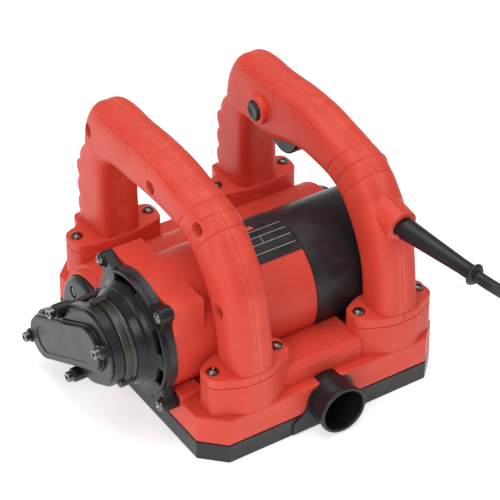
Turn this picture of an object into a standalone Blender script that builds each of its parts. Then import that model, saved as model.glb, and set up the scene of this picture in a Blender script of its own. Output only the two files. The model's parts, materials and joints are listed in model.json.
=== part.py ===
"""Wall chaser: a two-handled power tool whose drum, driven by a belt from a motor lying
across the base, planes a shallow bed in a wall.  Metres, +Z up, +X along the motor from
its gear end to its tail, -Y towards the dust port.  The origin is the centre of the
sole's underside."""

import math

import bmesh
import bpy
from mathutils import Matrix, Vector

# ---- fits ----
GAP = 0.0003                    # between pieces that touch
STEP = 0.0002                   # keeps the faces of joined shapes off one another
WALL = 0.0035                   # moulded casing walls
SHELL = 0.0030                  # handle shell walls

# ---- sides of round pieces ----
LARGE = 32
MEDIUM = 24
SMALL = 12
TINY = 8

# ---- base and sole ----
BASE_LENGTH = 0.225
BASE_DEPTH = 0.256
BASE_CORNER = 0.0183
SOLE_TOP = 0.017
SOLE_PLATE = 0.005
DECK_TOP = 0.0413
PLATEAU_X = (-0.036, 0.037)
PLATEAU_FRONT = -0.1186
PLATEAU_TOP = 0.0595
PLATEAU_CHAMFER = 0.0042

# ---- motor, lying along X ----
MOTOR_AXIS = (-0.0365, 0.082)   # Y, Z
MOTOR_RADIUS = 0.051
MOTOR_WALL = 0.0032
MOTOR_LEFT = -BASE_LENGTH / 2 - 0.0025      # X of the housing's gear end
MOTOR_SPLIT = 0.015             # X where the tail cover begins
MOTOR_RIGHT = BASE_LENGTH / 2 - 0.0005
CRADLE_CLEARANCE = 0.0003
STATOR_X = (-0.080, -0.010)
STATOR_BORE = 0.0270
AIR_GAP = 0.0008
SHAFT_RADIUS = 0.0057
FAN_X = (MOTOR_LEFT + 0.005, MOTOR_LEFT + 0.020)
FAN_RADIUS = MOTOR_RADIUS - MOTOR_WALL - 0.0048
FAN_BLADES = 9
COMMUTATOR_X = (0.014, 0.034)
COMMUTATOR_RADIUS = 0.0140
BRUSH_SIZE = (0.0080, 0.0080, 0.0180)
REAR_BEARING_X = (0.0450, 0.0540)
REAR_BEARING_RADIUS = 0.0110
MODULE_X = (0.066, 0.098)

# ---- gear end ----
FLANGE_RADIUS = MOTOR_RADIUS + 0.0015
FLANGE_FRONT = MOTOR_LEFT - 0.011
FLANGE_EARS = (45, 135, 225)    # degrees, from +Y towards +Z
EAR_CIRCLE = MOTOR_RADIUS + 0.010
EAR_RADIUS = 0.0068
DOME_RADIUS = MOTOR_RADIUS - 0.010
DOME_FRONT = FLANGE_FRONT - 0.014
RING_RADIUS = 0.0345
RING_FRONT = DOME_FRONT - 0.010
FRONT_BEARING_RADIUS = 0.0160
CASE_RADIUS = 0.0220
CASE_HEAD_RADIUS = 0.0330
CASE_HEAD_ALONG = 0.0200        # the head's length towards the drum
CASE_HEAD_RISE = 0.0030         # its face in front of the case's
CASE_FRONT = RING_FRONT - 0.007
CASE_FLOOR = 0.0024
NECK_RADIUS = 0.0185
COVER_RADIUS = 0.0195
COVER_WALL = 0.0025
COVER_FRONT = CASE_FRONT - 0.008
COVER_PANEL_RADIUS = 0.0138
COVER_PANEL_DEPTH = 0.0007
LUG_RADIUS = 0.0060
LUG_ALONG = 0.0690
LUG_ACROSS = 0.0266
COLUMN_RADIUS = 0.0040

# ---- belt drive ----
DRIVE_PULLEY_RADIUS = 0.0110
DRIVEN_PULLEY_RADIUS = 0.0140
BELT_THICKNESS = 0.0017
BELT_WIDTH = 0.0066
PULLEY_RIM = 0.0008
PULLEY_RIM_HEIGHT = 0.0014

# ---- cutting drum, lying along X ----
DRUM_AXIS = (0.0450, 0.0385)    # Y, Z
DRUM_TIP_RADIUS = 0.0370
DRUM_BODY_RADIUS = DRUM_TIP_RADIUS - 0.0035
DRUM_HALF = BASE_LENGTH / 2 - 0.0125
DRUM_ROWS = 4
DRUM_TEETH_PER_ROW = 7
TOOTH_SIZE = (0.0180, 0.0060)   # along the drum, around it
DRUM_SHAFT_RADIUS = 0.0060
CHAMBER_CLEARANCE = 0.0016
BULGE_RADIUS = 0.0445
WINDOW_HALF = 0.0240
CAP_RADIUS = 0.0380
CAP_THICKNESS = 0.0122
CAP_SPIGOT_RADIUS = 0.0300
CAP_SPIGOT = 0.0060
RIM_WALL = 0.0035
RIM_LENGTH = 0.0065
DRUM_BEARING_RADIUS = 0.0140
DRUM_BEARING_WIDTH = 0.0080
CAP_SCREW_CIRCLE = 0.0255
CAP_SCREW_ANGLES = (52, 172)

# ---- dust port, along Y ----
PORT_RADIUS = 0.0200
PORT_WALL = 0.0020
PORT_HEIGHT = 0.0230
PORT_MOUTH = -0.148
PORT_INNER = -0.104
PORT_LIP = 0.0013
PORT_LIP_LENGTH = 0.0040

# ---- handles ----
HANDLE_X = (-0.0657, 0.0710)
HANDLE_HALF_WIDTH = 0.0190
HANDLE_SQUARENESS = 3.0
HANDLE_STEPS = 0                # loft rings added between two stations
FOOT_THICKNESS = 0.008
FRONT_FOOT_TOP = 0.076
REAR_FOOT_TOP = 0.083
FRONT_SCREW = (0.0292, -0.1058)
REAR_SCREW = (0.0343, 0.0972)
SCREW_SHANK = 0.0024
SCREW_HEAD = 0.0050
SCREW_HEAD_HEIGHT = 0.0030
SCREW_LENGTH = 0.018

# half outlines of the feet, from the middle outwards: distance from the handle's plane, Y
FRONT_FOOT = [(0.0, -0.1275), (0.012, -0.1265), (0.024, -0.1215), (0.035, -0.115),
              (0.036, -0.106), (0.035, -0.097), (0.020, -0.089), (0.012, -0.0882), (0.0, -0.088)]
REAR_FOOT = [(0.0, 0.076), (0.010, 0.077), (0.021, 0.079), (0.032, 0.0815), (0.040, 0.087),
             (0.0415, 0.102), (0.037, 0.108), (0.025, 0.113), (0.020, 0.127), (0.0, 0.1275)]

# stations of the handle loft from the rear foot to the front foot: inner Y, Z, outer Y, Z
HANDLE_STATIONS = [
    (0.080, 0.081, 0.1265, 0.081),
    (0.080, 0.090, 0.1205, 0.090),
    (0.080, 0.107, 0.1270, 0.107),
    (0.080, 0.127, 0.1190, 0.127),
    (0.080, 0.143, 0.1225, 0.145),
    (0.0785, 0.153, 0.1125, 0.166),
    (0.0730, 0.159, 0.1090, 0.187),
    (0.0620, 0.161, 0.0980, 0.205),
    (0.0500, 0.162, 0.0800, 0.210),
    (0.0360, 0.1625, 0.0540, 0.2085),
    (0.0160, 0.1635, 0.0220, 0.2095),
    (-0.0040, 0.164, -0.0090, 0.2075),
    (-0.0230, 0.1635, -0.0370, 0.2015),
    (-0.0380, 0.1615, -0.0570, 0.1970),
    (-0.0495, 0.157, -0.0715, 0.1935),
    (-0.0590, 0.150, -0.0840, 0.1860),
    (-0.0665, 0.1415, -0.0930, 0.1770),
    (-0.0735, 0.131, -0.1060, 0.1600),
    (-0.0790, 0.120, -0.1160, 0.1410),
    (-0.0835, 0.1095, -0.1200, 0.1250),
    (-0.0870, 0.095, -0.1235, 0.0990),
    (-0.088, 0.074, -0.1268, 0.0740),
]

# ---- switch, in the right handle ----
TRIGGER_HALF_WIDTH = 0.0060
TRIGGER_SIDE_CLEARANCE = 0.0006
TRIGGER_PIVOT = (0.0690, 0.1775)
TRIGGER_PIN_RADIUS = 0.0015
TRIGGER_PIN_SHORT = 0.0042      # short of the widest point of each shell
TRIGGER_SLOT = (0.0130, 0.0775)
TRIGGER_OUTLINE = [(0.0755, 0.1815), (0.0755, 0.171), (0.071, 0.163), (0.063, 0.153),
                   (0.053, 0.144), (0.044, 0.140), (0.036, 0.140), (0.028, 0.1435),
                   (0.021, 0.151), (0.0165, 0.161), (0.0150, 0.172), (0.0150, 0.178),
                   (0.0580, 0.1815)]
SWITCH_Y = (0.020, 0.060)
SWITCH_Z = (0.1880, 0.1990)
SWITCH_HALF_WIDTH = 0.0133
BUTTON_CENTRE = (0.0535, 0.1785)
BUTTON_RADIUS = 0.0087
BUTTON_X = (0.0445, 0.0575)
BUTTON_BOSS_RADIUS = 0.0130
BUTTON_BOSS_X = (0.0470, 0.0564)

# ---- supply cable ----
CABLE_RADIUS = 0.0049
BOSS_START = (0.0710, -0.0920, 0.1600)
BOSS_END = (0.0710, -0.1184, 0.1554)
BOSS_RADIUS = 0.0135
GUARD_DIRECTION = (0.17, -0.98, -0.07)
GUARD_LENGTH = 0.078
GUARD_ROOT = 0.009
GUARD_COLLAR = 0.0028
GUARD_RADII = (0.00825, 0.0065)
GUARD_END_RING = (0.0090, 0.003)
COIL_CENTRE = (0.245, -0.165)
COIL_RADIUS = 0.055             # to the middle of its turns
COIL_WIDTH_TURNS = 3
COIL_LAYERS = 2
# route of the cable from the guard's tip to the coil, lying on the floor at its end
CABLE_ROUTE = [(0.0880, -0.2140, 0.1485), (0.0990, -0.2330, 0.1400), (0.1100, -0.2480, 0.1250),
               (0.1190, -0.2570, 0.1030), (0.1260, -0.2620, 0.0770), (0.1350, -0.2640, 0.0510),
               (0.1490, -0.2630, 0.0280), (0.1690, -0.2590, 0.0120), (0.1930, -0.2510, 0.0055),
               (0.2190, -0.2430, 0.0052), (0.2450, -0.2396, 0.0052)]
CABLE_POINTS = 30
PLUG_SIZE = (0.0350, 0.0480, 0.0260)    # across, along, thick
PLUG_PIN_RADIUS = 0.0024
PLUG_PIN_LENGTH = 0.019
PLUG_PIN_SPACING = 0.019

# ---- rating plate on the motor housing ----
PLATE_X = (-0.034, 0.0147)
PLATE_ANGLES = (78, 124)
PLATE_THICKNESS = 0.0006

# ---- worked out from the above ----
CRADLE_RADIUS = MOTOR_RADIUS + CRADLE_CLEARANCE
CHAMBER_RADIUS = DRUM_TIP_RADIUS + CHAMBER_CLEARANCE
SIDE = BASE_LENGTH / 2
FRONT = BASE_DEPTH / 2
MOTOR_BORE = MOTOR_RADIUS - MOTOR_WALL
SCREW_HOLE = SCREW_SHANK + GAP
COVER_BACK = CASE_FRONT - GAP
CASE_BACK = RING_FRONT - GAP
COVER_BORE = COVER_RADIUS - COVER_WALL
POCKET_FLOOR = CASE_BACK - CASE_FLOOR
COVER_CEILING = COVER_FRONT + COVER_WALL
BELT_MIDDLE = (POCKET_FLOOR + COVER_CEILING) / 2
PULLEY_HALF = BELT_WIDTH / 2 + GAP + PULLEY_RIM
CAP_INNER = SIDE + GAP
CAP_OUTER = CAP_INNER + CAP_THICKNESS
TURN = 2 * CABLE_RADIUS
COIL_HALF_WIDTH = COIL_WIDTH_TURNS * CABLE_RADIUS
COIL_HEIGHT = COIL_LAYERS * TURN


def clear_scene():
    for item in list(bpy.data.objects):
        bpy.data.objects.remove(item, do_unlink=True)


def collection(name):
    made = bpy.data.collections.new(name)
    bpy.context.scene.collection.children.link(made)
    return made


clear_scene()
PARTS = collection("wall_chaser")
TOOLS = collection("wall_chaser_cutters")


def material(name, colour, roughness, metallic=0.0):
    made = bpy.data.materials.new(name)
    made.use_nodes = True
    shader = made.node_tree.nodes["Principled BSDF"]
    shader.inputs["Base Color"].default_value = (*colour, 1.0)
    shader.inputs["Roughness"].default_value = roughness
    shader.inputs["Metallic"].default_value = metallic
    made.diffuse_color = (*colour, 1.0)
    return made


RED = material("red_housing", (0.80, 0.075, 0.045), 0.5)
BLACK = material("black_housing", (0.035, 0.036, 0.040), 0.5)
RUBBER = material("cable_rubber", (0.02, 0.02, 0.022), 0.6)
ALUMINIUM = material("cast_aluminium", (0.55, 0.54, 0.50), 0.45, 1.0)
STEEL = material("bright_steel", (0.60, 0.60, 0.60), 0.3, 1.0)
DARK_STEEL = material("dark_steel", (0.14, 0.12, 0.11), 0.35, 1.0)
COPPER = material("copper", (0.70, 0.33, 0.20), 0.4, 1.0)
CARBON = material("carbon", (0.03, 0.03, 0.03), 0.7)
LABEL = material("label_film", (0.02, 0.02, 0.02), 0.3)


# ---- helpers ----

def add_object(name, mesh, finish):
    made = bpy.data.objects.new(name, mesh)
    if finish is None:
        TOOLS.objects.link(made)
        made.hide_render = True
        made.display_type = "WIRE"
    else:
        PARTS.objects.link(made)
        made.data.materials.append(finish)
    return made


def mesh_from(name, bm):
    mesh = bpy.data.meshes.new(name)
    bmesh.ops.recalc_face_normals(bm, faces=bm.faces)
    bm.to_mesh(mesh)
    bm.free()
    return mesh


def smooth(item, degrees=35):
    item.data.shade_smooth()
    item.data.set_sharp_from_angle(angle=math.radians(degrees))
    return item


def box(name, low, high, finish=None, turn=None):
    bm = bmesh.new()
    size = [b - a for a, b in zip(low, high)]
    centre = [(a + b) / 2 for a, b in zip(low, high)]
    place = Matrix.Translation(centre) @ Matrix.Diagonal((*size, 1.0))
    bmesh.ops.create_cube(bm, size=1.0, matrix=(turn or Matrix.Identity(4)) @ place)
    return add_object(name, mesh_from(name, bm), finish)


def rod(name, start, end, radius, finish=None, segments=MEDIUM, end_radius=None):
    start, end = Vector(start), Vector(end)
    axis = end - start
    turn = Vector((0, 0, 1)).rotation_difference(axis).to_matrix().to_4x4()
    place = Matrix.Translation((start + end) / 2) @ turn
    bm = bmesh.new()
    bmesh.ops.create_cone(bm, cap_ends=True, segments=segments, radius1=radius,
                          radius2=end_radius or radius, depth=axis.length, matrix=place)
    return smooth(add_object(name, mesh_from(name, bm), finish))


def along_x(name, centre, low, high, radius, finish=None, segments=MEDIUM):
    return rod(name, (low, *centre), (high, *centre), radius, finish, segments)


PLANES = {
    "XY": Matrix.Identity(4),
    "YZ": Matrix(((0, 0, 1, 0), (1, 0, 0, 0), (0, 1, 0, 0), (0, 0, 0, 1))),
    "XZ": Matrix(((1, 0, 0, 0), (0, 0, -1, 0), (0, 1, 0, 0), (0, 0, 0, 1))),
}


def prism(name, outlines, plane, low, high, finish=None):
    """A flat outline, with holes if more outlines follow, from low to high across its plane."""
    if plane == "XZ":
        low, high = -high, -low
    curve = bpy.data.curves.new(name, "CURVE")
    curve.dimensions = "2D"
    curve.fill_mode = "BOTH"
    curve.extrude = (high - low) / 2
    for outline in outlines:
        spline = curve.splines.new("POLY")
        spline.points.add(len(outline) - 1)
        for point, (a, b) in zip(spline.points, outline):
            point.co = (a, b, 0.0, 1.0)
        spline.use_cyclic_u = True
    sketch = bpy.data.objects.new(name + "_outline", curve)
    TOOLS.objects.link(sketch)
    ready = sketch.evaluated_get(bpy.context.evaluated_depsgraph_get())
    mesh = bpy.data.meshes.new_from_object(ready)
    bpy.data.objects.remove(sketch, do_unlink=True)
    bm = bmesh.new()
    bm.from_mesh(mesh)
    bmesh.ops.remove_doubles(bm, verts=bm.verts, dist=1e-6)
    shift = Matrix.Translation((0, 0, (high + low) / 2))
    bmesh.ops.transform(bm, matrix=PLANES[plane] @ shift, verts=bm.verts)
    return add_object(name, mesh_from(name, bm), finish)


def turned(name, profile, centre, finish=None, steps=MEDIUM):
    """A solid of revolution about the X line through centre.  The profile lists (X, radius),
    from high X to low X on its outer side; it closes on itself unless it ends on the axis."""
    mesh = bpy.data.meshes.new(name)
    points = [(radius, 0.0, x) for x, radius in profile]
    edges = [(i, i + 1) for i in range(len(points) - 1)]
    if profile[0][1] > 0:
        edges.append((len(points) - 1, 0))
    mesh.from_pydata(points, edges, [])
    made = add_object(name, mesh, finish)
    made.rotation_euler = (0, math.pi / 2, 0)
    made.location = (0, *centre)
    screw = made.modifiers.new("turn", "SCREW")
    screw.axis = "Z"
    screw.steps = screw.render_steps = steps
    screw.use_merge_vertices = True
    screw.merge_threshold = 1e-5
    screw.use_smooth_shade = True
    return made


def boolean(target, operand, operation):
    step = target.modifiers.new(operand.name, "BOOLEAN")
    step.operation = operation
    step.solver = "EXACT"
    step.object = operand
    return target


def cut(target, *cutters):
    for cutter in cutters:
        boolean(target, cutter, "DIFFERENCE")
    return target


def join(target, *pieces):
    for piece in pieces:
        boolean(target, piece, "UNION")
    return target


def keep(target, region):
    return boolean(target, region, "INTERSECT")


def bevel(target, width, segments=2, degrees=40):
    step = target.modifiers.new("bevel", "BEVEL")
    step.width = width
    step.segments = segments
    step.limit_method = "ANGLE"
    step.angle_limit = math.radians(degrees)
    return target


def arc(centre, radius, start, end, count):
    """Points on an arc, angles in radians from the plane's first axis to its second."""
    return [(centre[0] + radius * math.cos(start + (end - start) * i / count),
             centre[1] + radius * math.sin(start + (end - start) * i / count))
            for i in range(count + 1)]


def belt_outline(first, first_radius, second, second_radius, count=9):
    """Outline of a taut belt round two circles; with equal radii, a stadium."""
    dy, dz = second[0] - first[0], second[1] - first[1]
    lean = math.atan2(dz, dy)
    wrap = math.acos((first_radius - second_radius) / math.hypot(dy, dz))
    return (arc(first, first_radius, lean + wrap, lean - wrap + 2 * math.pi, count)
            + arc(second, second_radius, lean - wrap, lean + wrap, count))


def on_circle(centre, radius, degrees):
    return (centre[0] + radius * math.cos(math.radians(degrees)),
            centre[1] + radius * math.sin(math.radians(degrees)))


def smooth_points(points, steps):
    """Catmull-Rom points through the given ones, with some added in every interval."""
    ends = [points[0], *points, points[-1]]
    result = []
    for a, b, c, d in zip(ends, ends[1:], ends[2:], ends[3:]):
        for i in range(steps + 1):
            t = i / (steps + 1)
            result.append(tuple(
                0.5 * (2 * q + (r - p) * t + (2 * p - 5 * q + 4 * r - s) * t * t
                       + (3 * q - p - 3 * r + s) * t ** 3)
                for p, q, r, s in zip(a, b, c, d)))
    result.append(tuple(points[-1]))
    return result


def carrier(name, place, pieces):
    """An empty on a joint's axis that carries the pieces turning or sliding with it."""
    hub = bpy.data.objects.new(name, None)
    hub.empty_display_size = 0.02
    hub.location = place
    PARTS.objects.link(hub)
    for piece in pieces:
        piece.parent = hub
        piece.matrix_parent_inverse = Matrix.Translation(place).inverted()
    return hub


def plan(inset=0.0):
    """The base's outline with its corners cut, moved inwards."""
    x, y = SIDE - inset, FRONT - inset
    c = BASE_CORNER - (2 - math.sqrt(2)) * inset
    return [(x, y - c), (x - c, y), (c - x, y), (-x, y - c),
            (-x, c - y), (c - x, -y), (x - c, -y), (x, c - y)]


def foot_outline(half, centre):
    right = [(centre + x, y) for x, y in half]
    left = [(centre - x, y) for x, y in reversed(half[1:-1])]
    return right + left


# ---- places worked out for the gear end ----
ALONG = Vector(DRUM_AXIS) - Vector(MOTOR_AXIS)
MIDDLE = (Vector(DRUM_AXIS) + Vector(MOTOR_AXIS)) / 2
ALONG.normalize()
ACROSS = Vector((-ALONG.y, ALONG.x))
HEAD_END = Vector(MOTOR_AXIS) + ALONG * CASE_HEAD_ALONG
LUGS = {
    "rear": MIDDLE + ALONG * LUG_ALONG,
    "upper": MIDDLE + ACROSS * LUG_ACROSS,
    "front": MIDDLE - ALONG * LUG_ALONG,
    "lower": MIDDLE - ACROSS * LUG_ACROSS,
}


def pedestal_screws():
    """Every handle screw: name, X, Y and the height of the foot's top."""
    found = []
    for side, centre in zip(("left", "right"), HANDLE_X):
        for end, (reach, y), top in (("front", FRONT_SCREW, FRONT_FOOT_TOP),
                                     ("rear", REAR_SCREW, REAR_FOOT_TOP)):
            for place, sign in (("inner", 1), ("outer", -1)):
                direction = sign if side == "left" else -sign
                name = f"{side}_{end}_{place}_screw"
                found.append((name, centre + direction * reach, y, top))
    return found


def pan_screw(name, place, axis_x, top):
    """A pan-head screw; along X when axis_x is true (head at low X), otherwise upright."""
    head = [(0.0, 0.0), (0.5, 0.42), (0.85, 0.75), (1.0, 1.0)]
    points = [(SCREW_HEAD_HEIGHT * (1 - b), SCREW_HEAD * a) for a, b in head]
    profile = points + [(0.0, SCREW_SHANK), (-SCREW_LENGTH, SCREW_SHANK), (-SCREW_LENGTH, 0.0)]
    made = turned(name, profile, (0, 0), DARK_STEEL, TINY)
    if axis_x:
        made.rotation_euler = (0, -math.pi / 2, 0)
        made.location = (top, *place)
    else:
        made.rotation_euler = (0, 0, 0)
        made.location = (*place, top)
    return made


# ---- base and sole ----

def base_housing():
    floor = SOLE_TOP + GAP
    body = prism("base_housing", [plan()], "XY", floor, DECK_TOP, RED)
    lift = DECK_TOP - 0.004
    chamfered = [(PLATEAU_FRONT, lift), (MOTOR_AXIS[0], lift), (MOTOR_AXIS[0], PLATEAU_TOP),
                 (PLATEAU_FRONT + PLATEAU_CHAMFER, PLATEAU_TOP),
                 (PLATEAU_FRONT, PLATEAU_TOP - PLATEAU_CHAMFER)]
    join(body, prism("plateau", [chamfered], "YZ", *PLATEAU_X))
    for side, centre in zip(("left", "right"), HANDLE_X):
        join(body,
             prism(side + "_front_pedestal", [foot_outline(FRONT_FOOT, centre)], "XY",
                   lift, FRONT_FOOT_TOP - FOOT_THICKNESS - GAP),
             prism(side + "_rear_pedestal", [foot_outline(REAR_FOOT, centre)], "XY",
                   lift, REAR_FOOT_TOP - FOOT_THICKNESS - GAP))
    cut(body, prism("base_hollow", [plan(WALL)], "XY", -0.01, DECK_TOP - WALL))
    back_of_plateau = MOTOR_AXIS[0] - math.sqrt(CRADLE_RADIUS ** 2
                                               - (PLATEAU_TOP - MOTOR_AXIS[1]) ** 2)
    cut(body, box("plateau_hollow", (PLATEAU_X[0] + WALL, PLATEAU_FRONT + WALL, 0.02),
                  (PLATEAU_X[1] - WALL, back_of_plateau - 0.002, PLATEAU_TOP - 1.4 * WALL)))
    for side, centre in zip(("left", "right"), HANDLE_X):
        reach = FRONT_SCREW[0] - 0.0085
        cut(body,
            box(side + "_front_hollow", (centre - reach, -FRONT + 2 * WALL, 0.02),
                (centre + reach, -0.094, FRONT_FOOT_TOP - FOOT_THICKNESS - WALL - GAP)),
            box(side + "_rear_hollow", (centre - reach, 0.092, 0.02),
                (centre + reach, FRONT - 2 * WALL, REAR_FOOT_TOP - FOOT_THICKNESS - WALL - GAP)))
    cradle = along_x("cradle", MOTOR_AXIS, -SIDE, SIDE, CRADLE_RADIUS + WALL, segments=LARGE)
    keep(cradle, box("below_deck", (-1, -1, -1), (1, 1, DECK_TOP)))
    rim = along_x("rim", DRUM_AXIS, -SIDE - RIM_LENGTH, -SIDE + 0.001, CAP_RADIUS + RIM_WALL,
                  segments=LARGE)
    ear_y, ear_z = on_circle(MOTOR_AXIS, EAR_CIRCLE, FLANGE_EARS[2])
    boss = box("ear_boss", (-SIDE, ear_y - 0.009, ear_z - 0.010),
               (-SIDE + 0.020, ear_y + 0.009, ear_z + 0.0085))
    join(body, cradle,
         along_x("bulge", DRUM_AXIS, -SIDE, SIDE, BULGE_RADIUS, segments=LARGE), rim, boss)
    cut(body,
        along_x("chamber", DRUM_AXIS, WALL - SIDE, SIDE - WALL, CHAMBER_RADIUS, segments=LARGE),
        along_x("side_holes", DRUM_AXIS, -0.2, 0.2, CAP_SPIGOT_RADIUS + GAP),
        along_x("rim_bore", DRUM_AXIS, -0.2, -SIDE, CAP_RADIUS + GAP, segments=LARGE),
        along_x("cradle_bore", MOTOR_AXIS, -0.2, 0.2, CRADLE_RADIUS, segments=LARGE),
        along_x("flange_room", MOTOR_AXIS, -0.2, -SIDE, FLANGE_RADIUS + GAP, segments=LARGE),
        along_x("ear_hole", (ear_y, ear_z), -0.2, -SIDE + 0.016, SCREW_HOLE, segments=TINY),
        rod("port_hole", (0, -0.2, PORT_HEIGHT), (0, PORT_INNER, PORT_HEIGHT),
            PORT_RADIUS + GAP, segments=MEDIUM),
        box("sole_room", (-1, -1, -1), (1, 1, floor)))
    for name, x, y, top in pedestal_screws():
        cut(body, rod(name + "_pilot", (x, y, top - SCREW_LENGTH - 0.001), (x, y, top),
                      SCREW_HOLE, segments=TINY))
    return body


def sole_plate():
    body = prism("sole_plate", [plan()], "XY", 0.0, SOLE_TOP, BLACK)
    cut(body,
        prism("sole_hollow", [plan(WALL + GAP)], "XY", SOLE_PLATE, 0.05),
        box("drum_window", (-DRUM_HALF - 0.002, DRUM_AXIS[0] - WINDOW_HALF, -0.01),
            (DRUM_HALF + 0.002, DRUM_AXIS[0] + WINDOW_HALF, 0.05)),
        along_x("cap_room_left", DRUM_AXIS, -SIDE - 0.02, -SIDE + CAP_SPIGOT + 0.001,
                CAP_SPIGOT_RADIUS + GAP),
        along_x("cap_room_right", DRUM_AXIS, SIDE - CAP_SPIGOT - 0.001, SIDE + 0.02,
                CAP_SPIGOT_RADIUS + GAP),
        rod("sole_port_hole", (0, -0.2, PORT_HEIGHT), (0, PORT_INNER, PORT_HEIGHT),
            PORT_RADIUS + GAP, segments=MEDIUM))
    return body


def dust_port():
    tube = rod("dust_port", (0, PORT_MOUTH, PORT_HEIGHT), (0, PORT_INNER, PORT_HEIGHT),
               PORT_RADIUS, BLACK, MEDIUM)
    lip = rod("port_lip", (0, PORT_MOUTH, PORT_HEIGHT),
              (0, PORT_MOUTH + PORT_LIP_LENGTH, PORT_HEIGHT), PORT_RADIUS + PORT_LIP, segments=MEDIUM)
    root = 2 * PORT_RADIUS - 0.004
    saddle = prism("port_saddle", [[(-root, 0.0015), (root, 0.0015), (root, SOLE_TOP * 0.6),
                                    (PORT_RADIUS, SOLE_TOP * 1.5), (-PORT_RADIUS, SOLE_TOP * 1.5),
                                    (-root, SOLE_TOP * 0.6)]],
                   "XZ", -FRONT - 0.002, -FRONT - GAP)
    join(tube, saddle, lip)
    cut(tube, rod("port_bore", (0, -0.2, PORT_HEIGHT), (0, 0, PORT_HEIGHT),
                  PORT_RADIUS - PORT_WALL, segments=MEDIUM))
    return tube


# ---- motor ----

def motor_housing():
    body = turned("motor_housing",
                  [(MOTOR_SPLIT, MOTOR_RADIUS), (MOTOR_LEFT, MOTOR_RADIUS),
                   (MOTOR_LEFT, MOTOR_BORE), (MOTOR_SPLIT, MOTOR_BORE)], MOTOR_AXIS, RED, LARGE)
    centre = Vector((0, *MOTOR_AXIS))
    for degrees in FLANGE_EARS[:2]:
        turn = (Matrix.Translation(centre)
                @ Matrix.Rotation(math.radians(degrees - 90), 4, "X"))
        ear = box(f"housing_ear_{degrees}", (MOTOR_LEFT, -0.0085, MOTOR_BORE + 0.0008),
                  (MOTOR_LEFT + 0.021, 0.0085, EAR_CIRCLE + EAR_RADIUS - 0.0015), turn=turn)
        hole = along_x(f"housing_ear_hole_{degrees}", on_circle(MOTOR_AXIS, EAR_CIRCLE, degrees),
                       -0.2, MOTOR_LEFT + 0.012, SCREW_HOLE, segments=TINY)
        join(body, ear)
        cut(body, hole)
    return body


def motor_tail_cover():
    start = MOTOR_SPLIT + GAP
    end, wall = MOTOR_RIGHT, MOTOR_WALL
    body = turned("motor_tail_cover",
                  [(end, 0.0), (end, MOTOR_RADIUS - 0.008), (end - 0.0015, MOTOR_RADIUS - 0.0035),
                   (end - 0.005, MOTOR_RADIUS), (start, MOTOR_RADIUS), (start, MOTOR_BORE),
                   (end - 0.006, MOTOR_BORE), (end - wall, MOTOR_BORE - 0.004),
                   (end - wall, 0.0)], MOTOR_AXIS, BLACK, LARGE)
    for row in range(-2, 3):
        z = MOTOR_AXIS[1] + row * 0.013
        reach = math.sqrt((MOTOR_RADIUS - 0.012) ** 2 - (row * 0.013) ** 2)
        cut(body, box(f"tail_vent_{row + 3}", (end - 0.008, MOTOR_AXIS[0] - reach, z - 0.002),
                      (end + 0.01, MOTOR_AXIS[0] + reach, z + 0.002)))
    return body


def stator():
    outer = MOTOR_BORE - GAP
    body = turned("stator", [(STATOR_X[1], outer), (STATOR_X[0], outer),
                             (STATOR_X[0], outer - 0.009), (STATOR_X[1], outer - 0.009)],
                  MOTOR_AXIS, DARK_STEEL, MEDIUM)
    for side in (-1, 1):
        y, z = MOTOR_AXIS
        pole = box(f"pole_{side}", (STATOR_X[0] + 0.0005, y - 0.018, z),
                   (STATOR_X[1] - 0.0005, y + 0.018, z + outer - 0.004),
                   turn=(Matrix.Translation((0, y, z)) @ Matrix.Rotation(
                       math.radians(90 - side * 90), 4, "X") @ Matrix.Translation((0, -y, -z))))
        join(body, pole)
    cut(body, along_x("stator_bore", MOTOR_AXIS, -0.2, 0.2, STATOR_BORE))
    return body


def armature():
    shaft = turned("armature_shaft",
                   [(REAR_BEARING_X[1] + 0.002, 0.0), (REAR_BEARING_X[1] + 0.002, SHAFT_RADIUS),
                    (COVER_CEILING + 0.0012, SHAFT_RADIUS), (COVER_CEILING + 0.0012, 0.0)],
                   MOTOR_AXIS, STEEL, SMALL)
    bore = SHAFT_RADIUS + GAP
    core = turned("armature_core", [(STATOR_X[1], STATOR_BORE - AIR_GAP),
                                    (STATOR_X[0], STATOR_BORE - AIR_GAP),
                                    (STATOR_X[0], bore), (STATOR_X[1], bore)],
                  MOTOR_AXIS, DARK_STEEL)
    commutator = turned("commutator", [(COMMUTATOR_X[1], COMMUTATOR_RADIUS),
                                       (COMMUTATOR_X[0], COMMUTATOR_RADIUS),
                                       (COMMUTATOR_X[0], bore), (COMMUTATOR_X[1], bore)],
                        MOTOR_AXIS, COPPER, MEDIUM)
    fan = turned("cooling_fan", [(FAN_X[1], 0.013), (FAN_X[1], FAN_RADIUS),
                                 (FAN_X[1] - 0.002, FAN_RADIUS), (FAN_X[1] - 0.002, 0.013),
                                 (FAN_X[0], 0.013), (FAN_X[0], bore), (FAN_X[1], bore)],
                 MOTOR_AXIS, BLACK, MEDIUM)
    for index in range(FAN_BLADES):
        turn = (Matrix.Translation((0, *MOTOR_AXIS))
                @ Matrix.Rotation(2 * math.pi * index / FAN_BLADES, 4, "X"))
        join(fan, box(f"fan_blade_{index}", (FAN_X[0], -0.001, 0.0125),
                      (FAN_X[1] - 0.001, 0.001, FAN_RADIUS - 0.0015), turn=turn))
    pulley = grooved_pulley("drive_pulley", MOTOR_AXIS, DRIVE_PULLEY_RADIUS, bore)
    carrier("armature_axis", (0, *MOTOR_AXIS), [shaft, core, commutator, fan, pulley])


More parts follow.
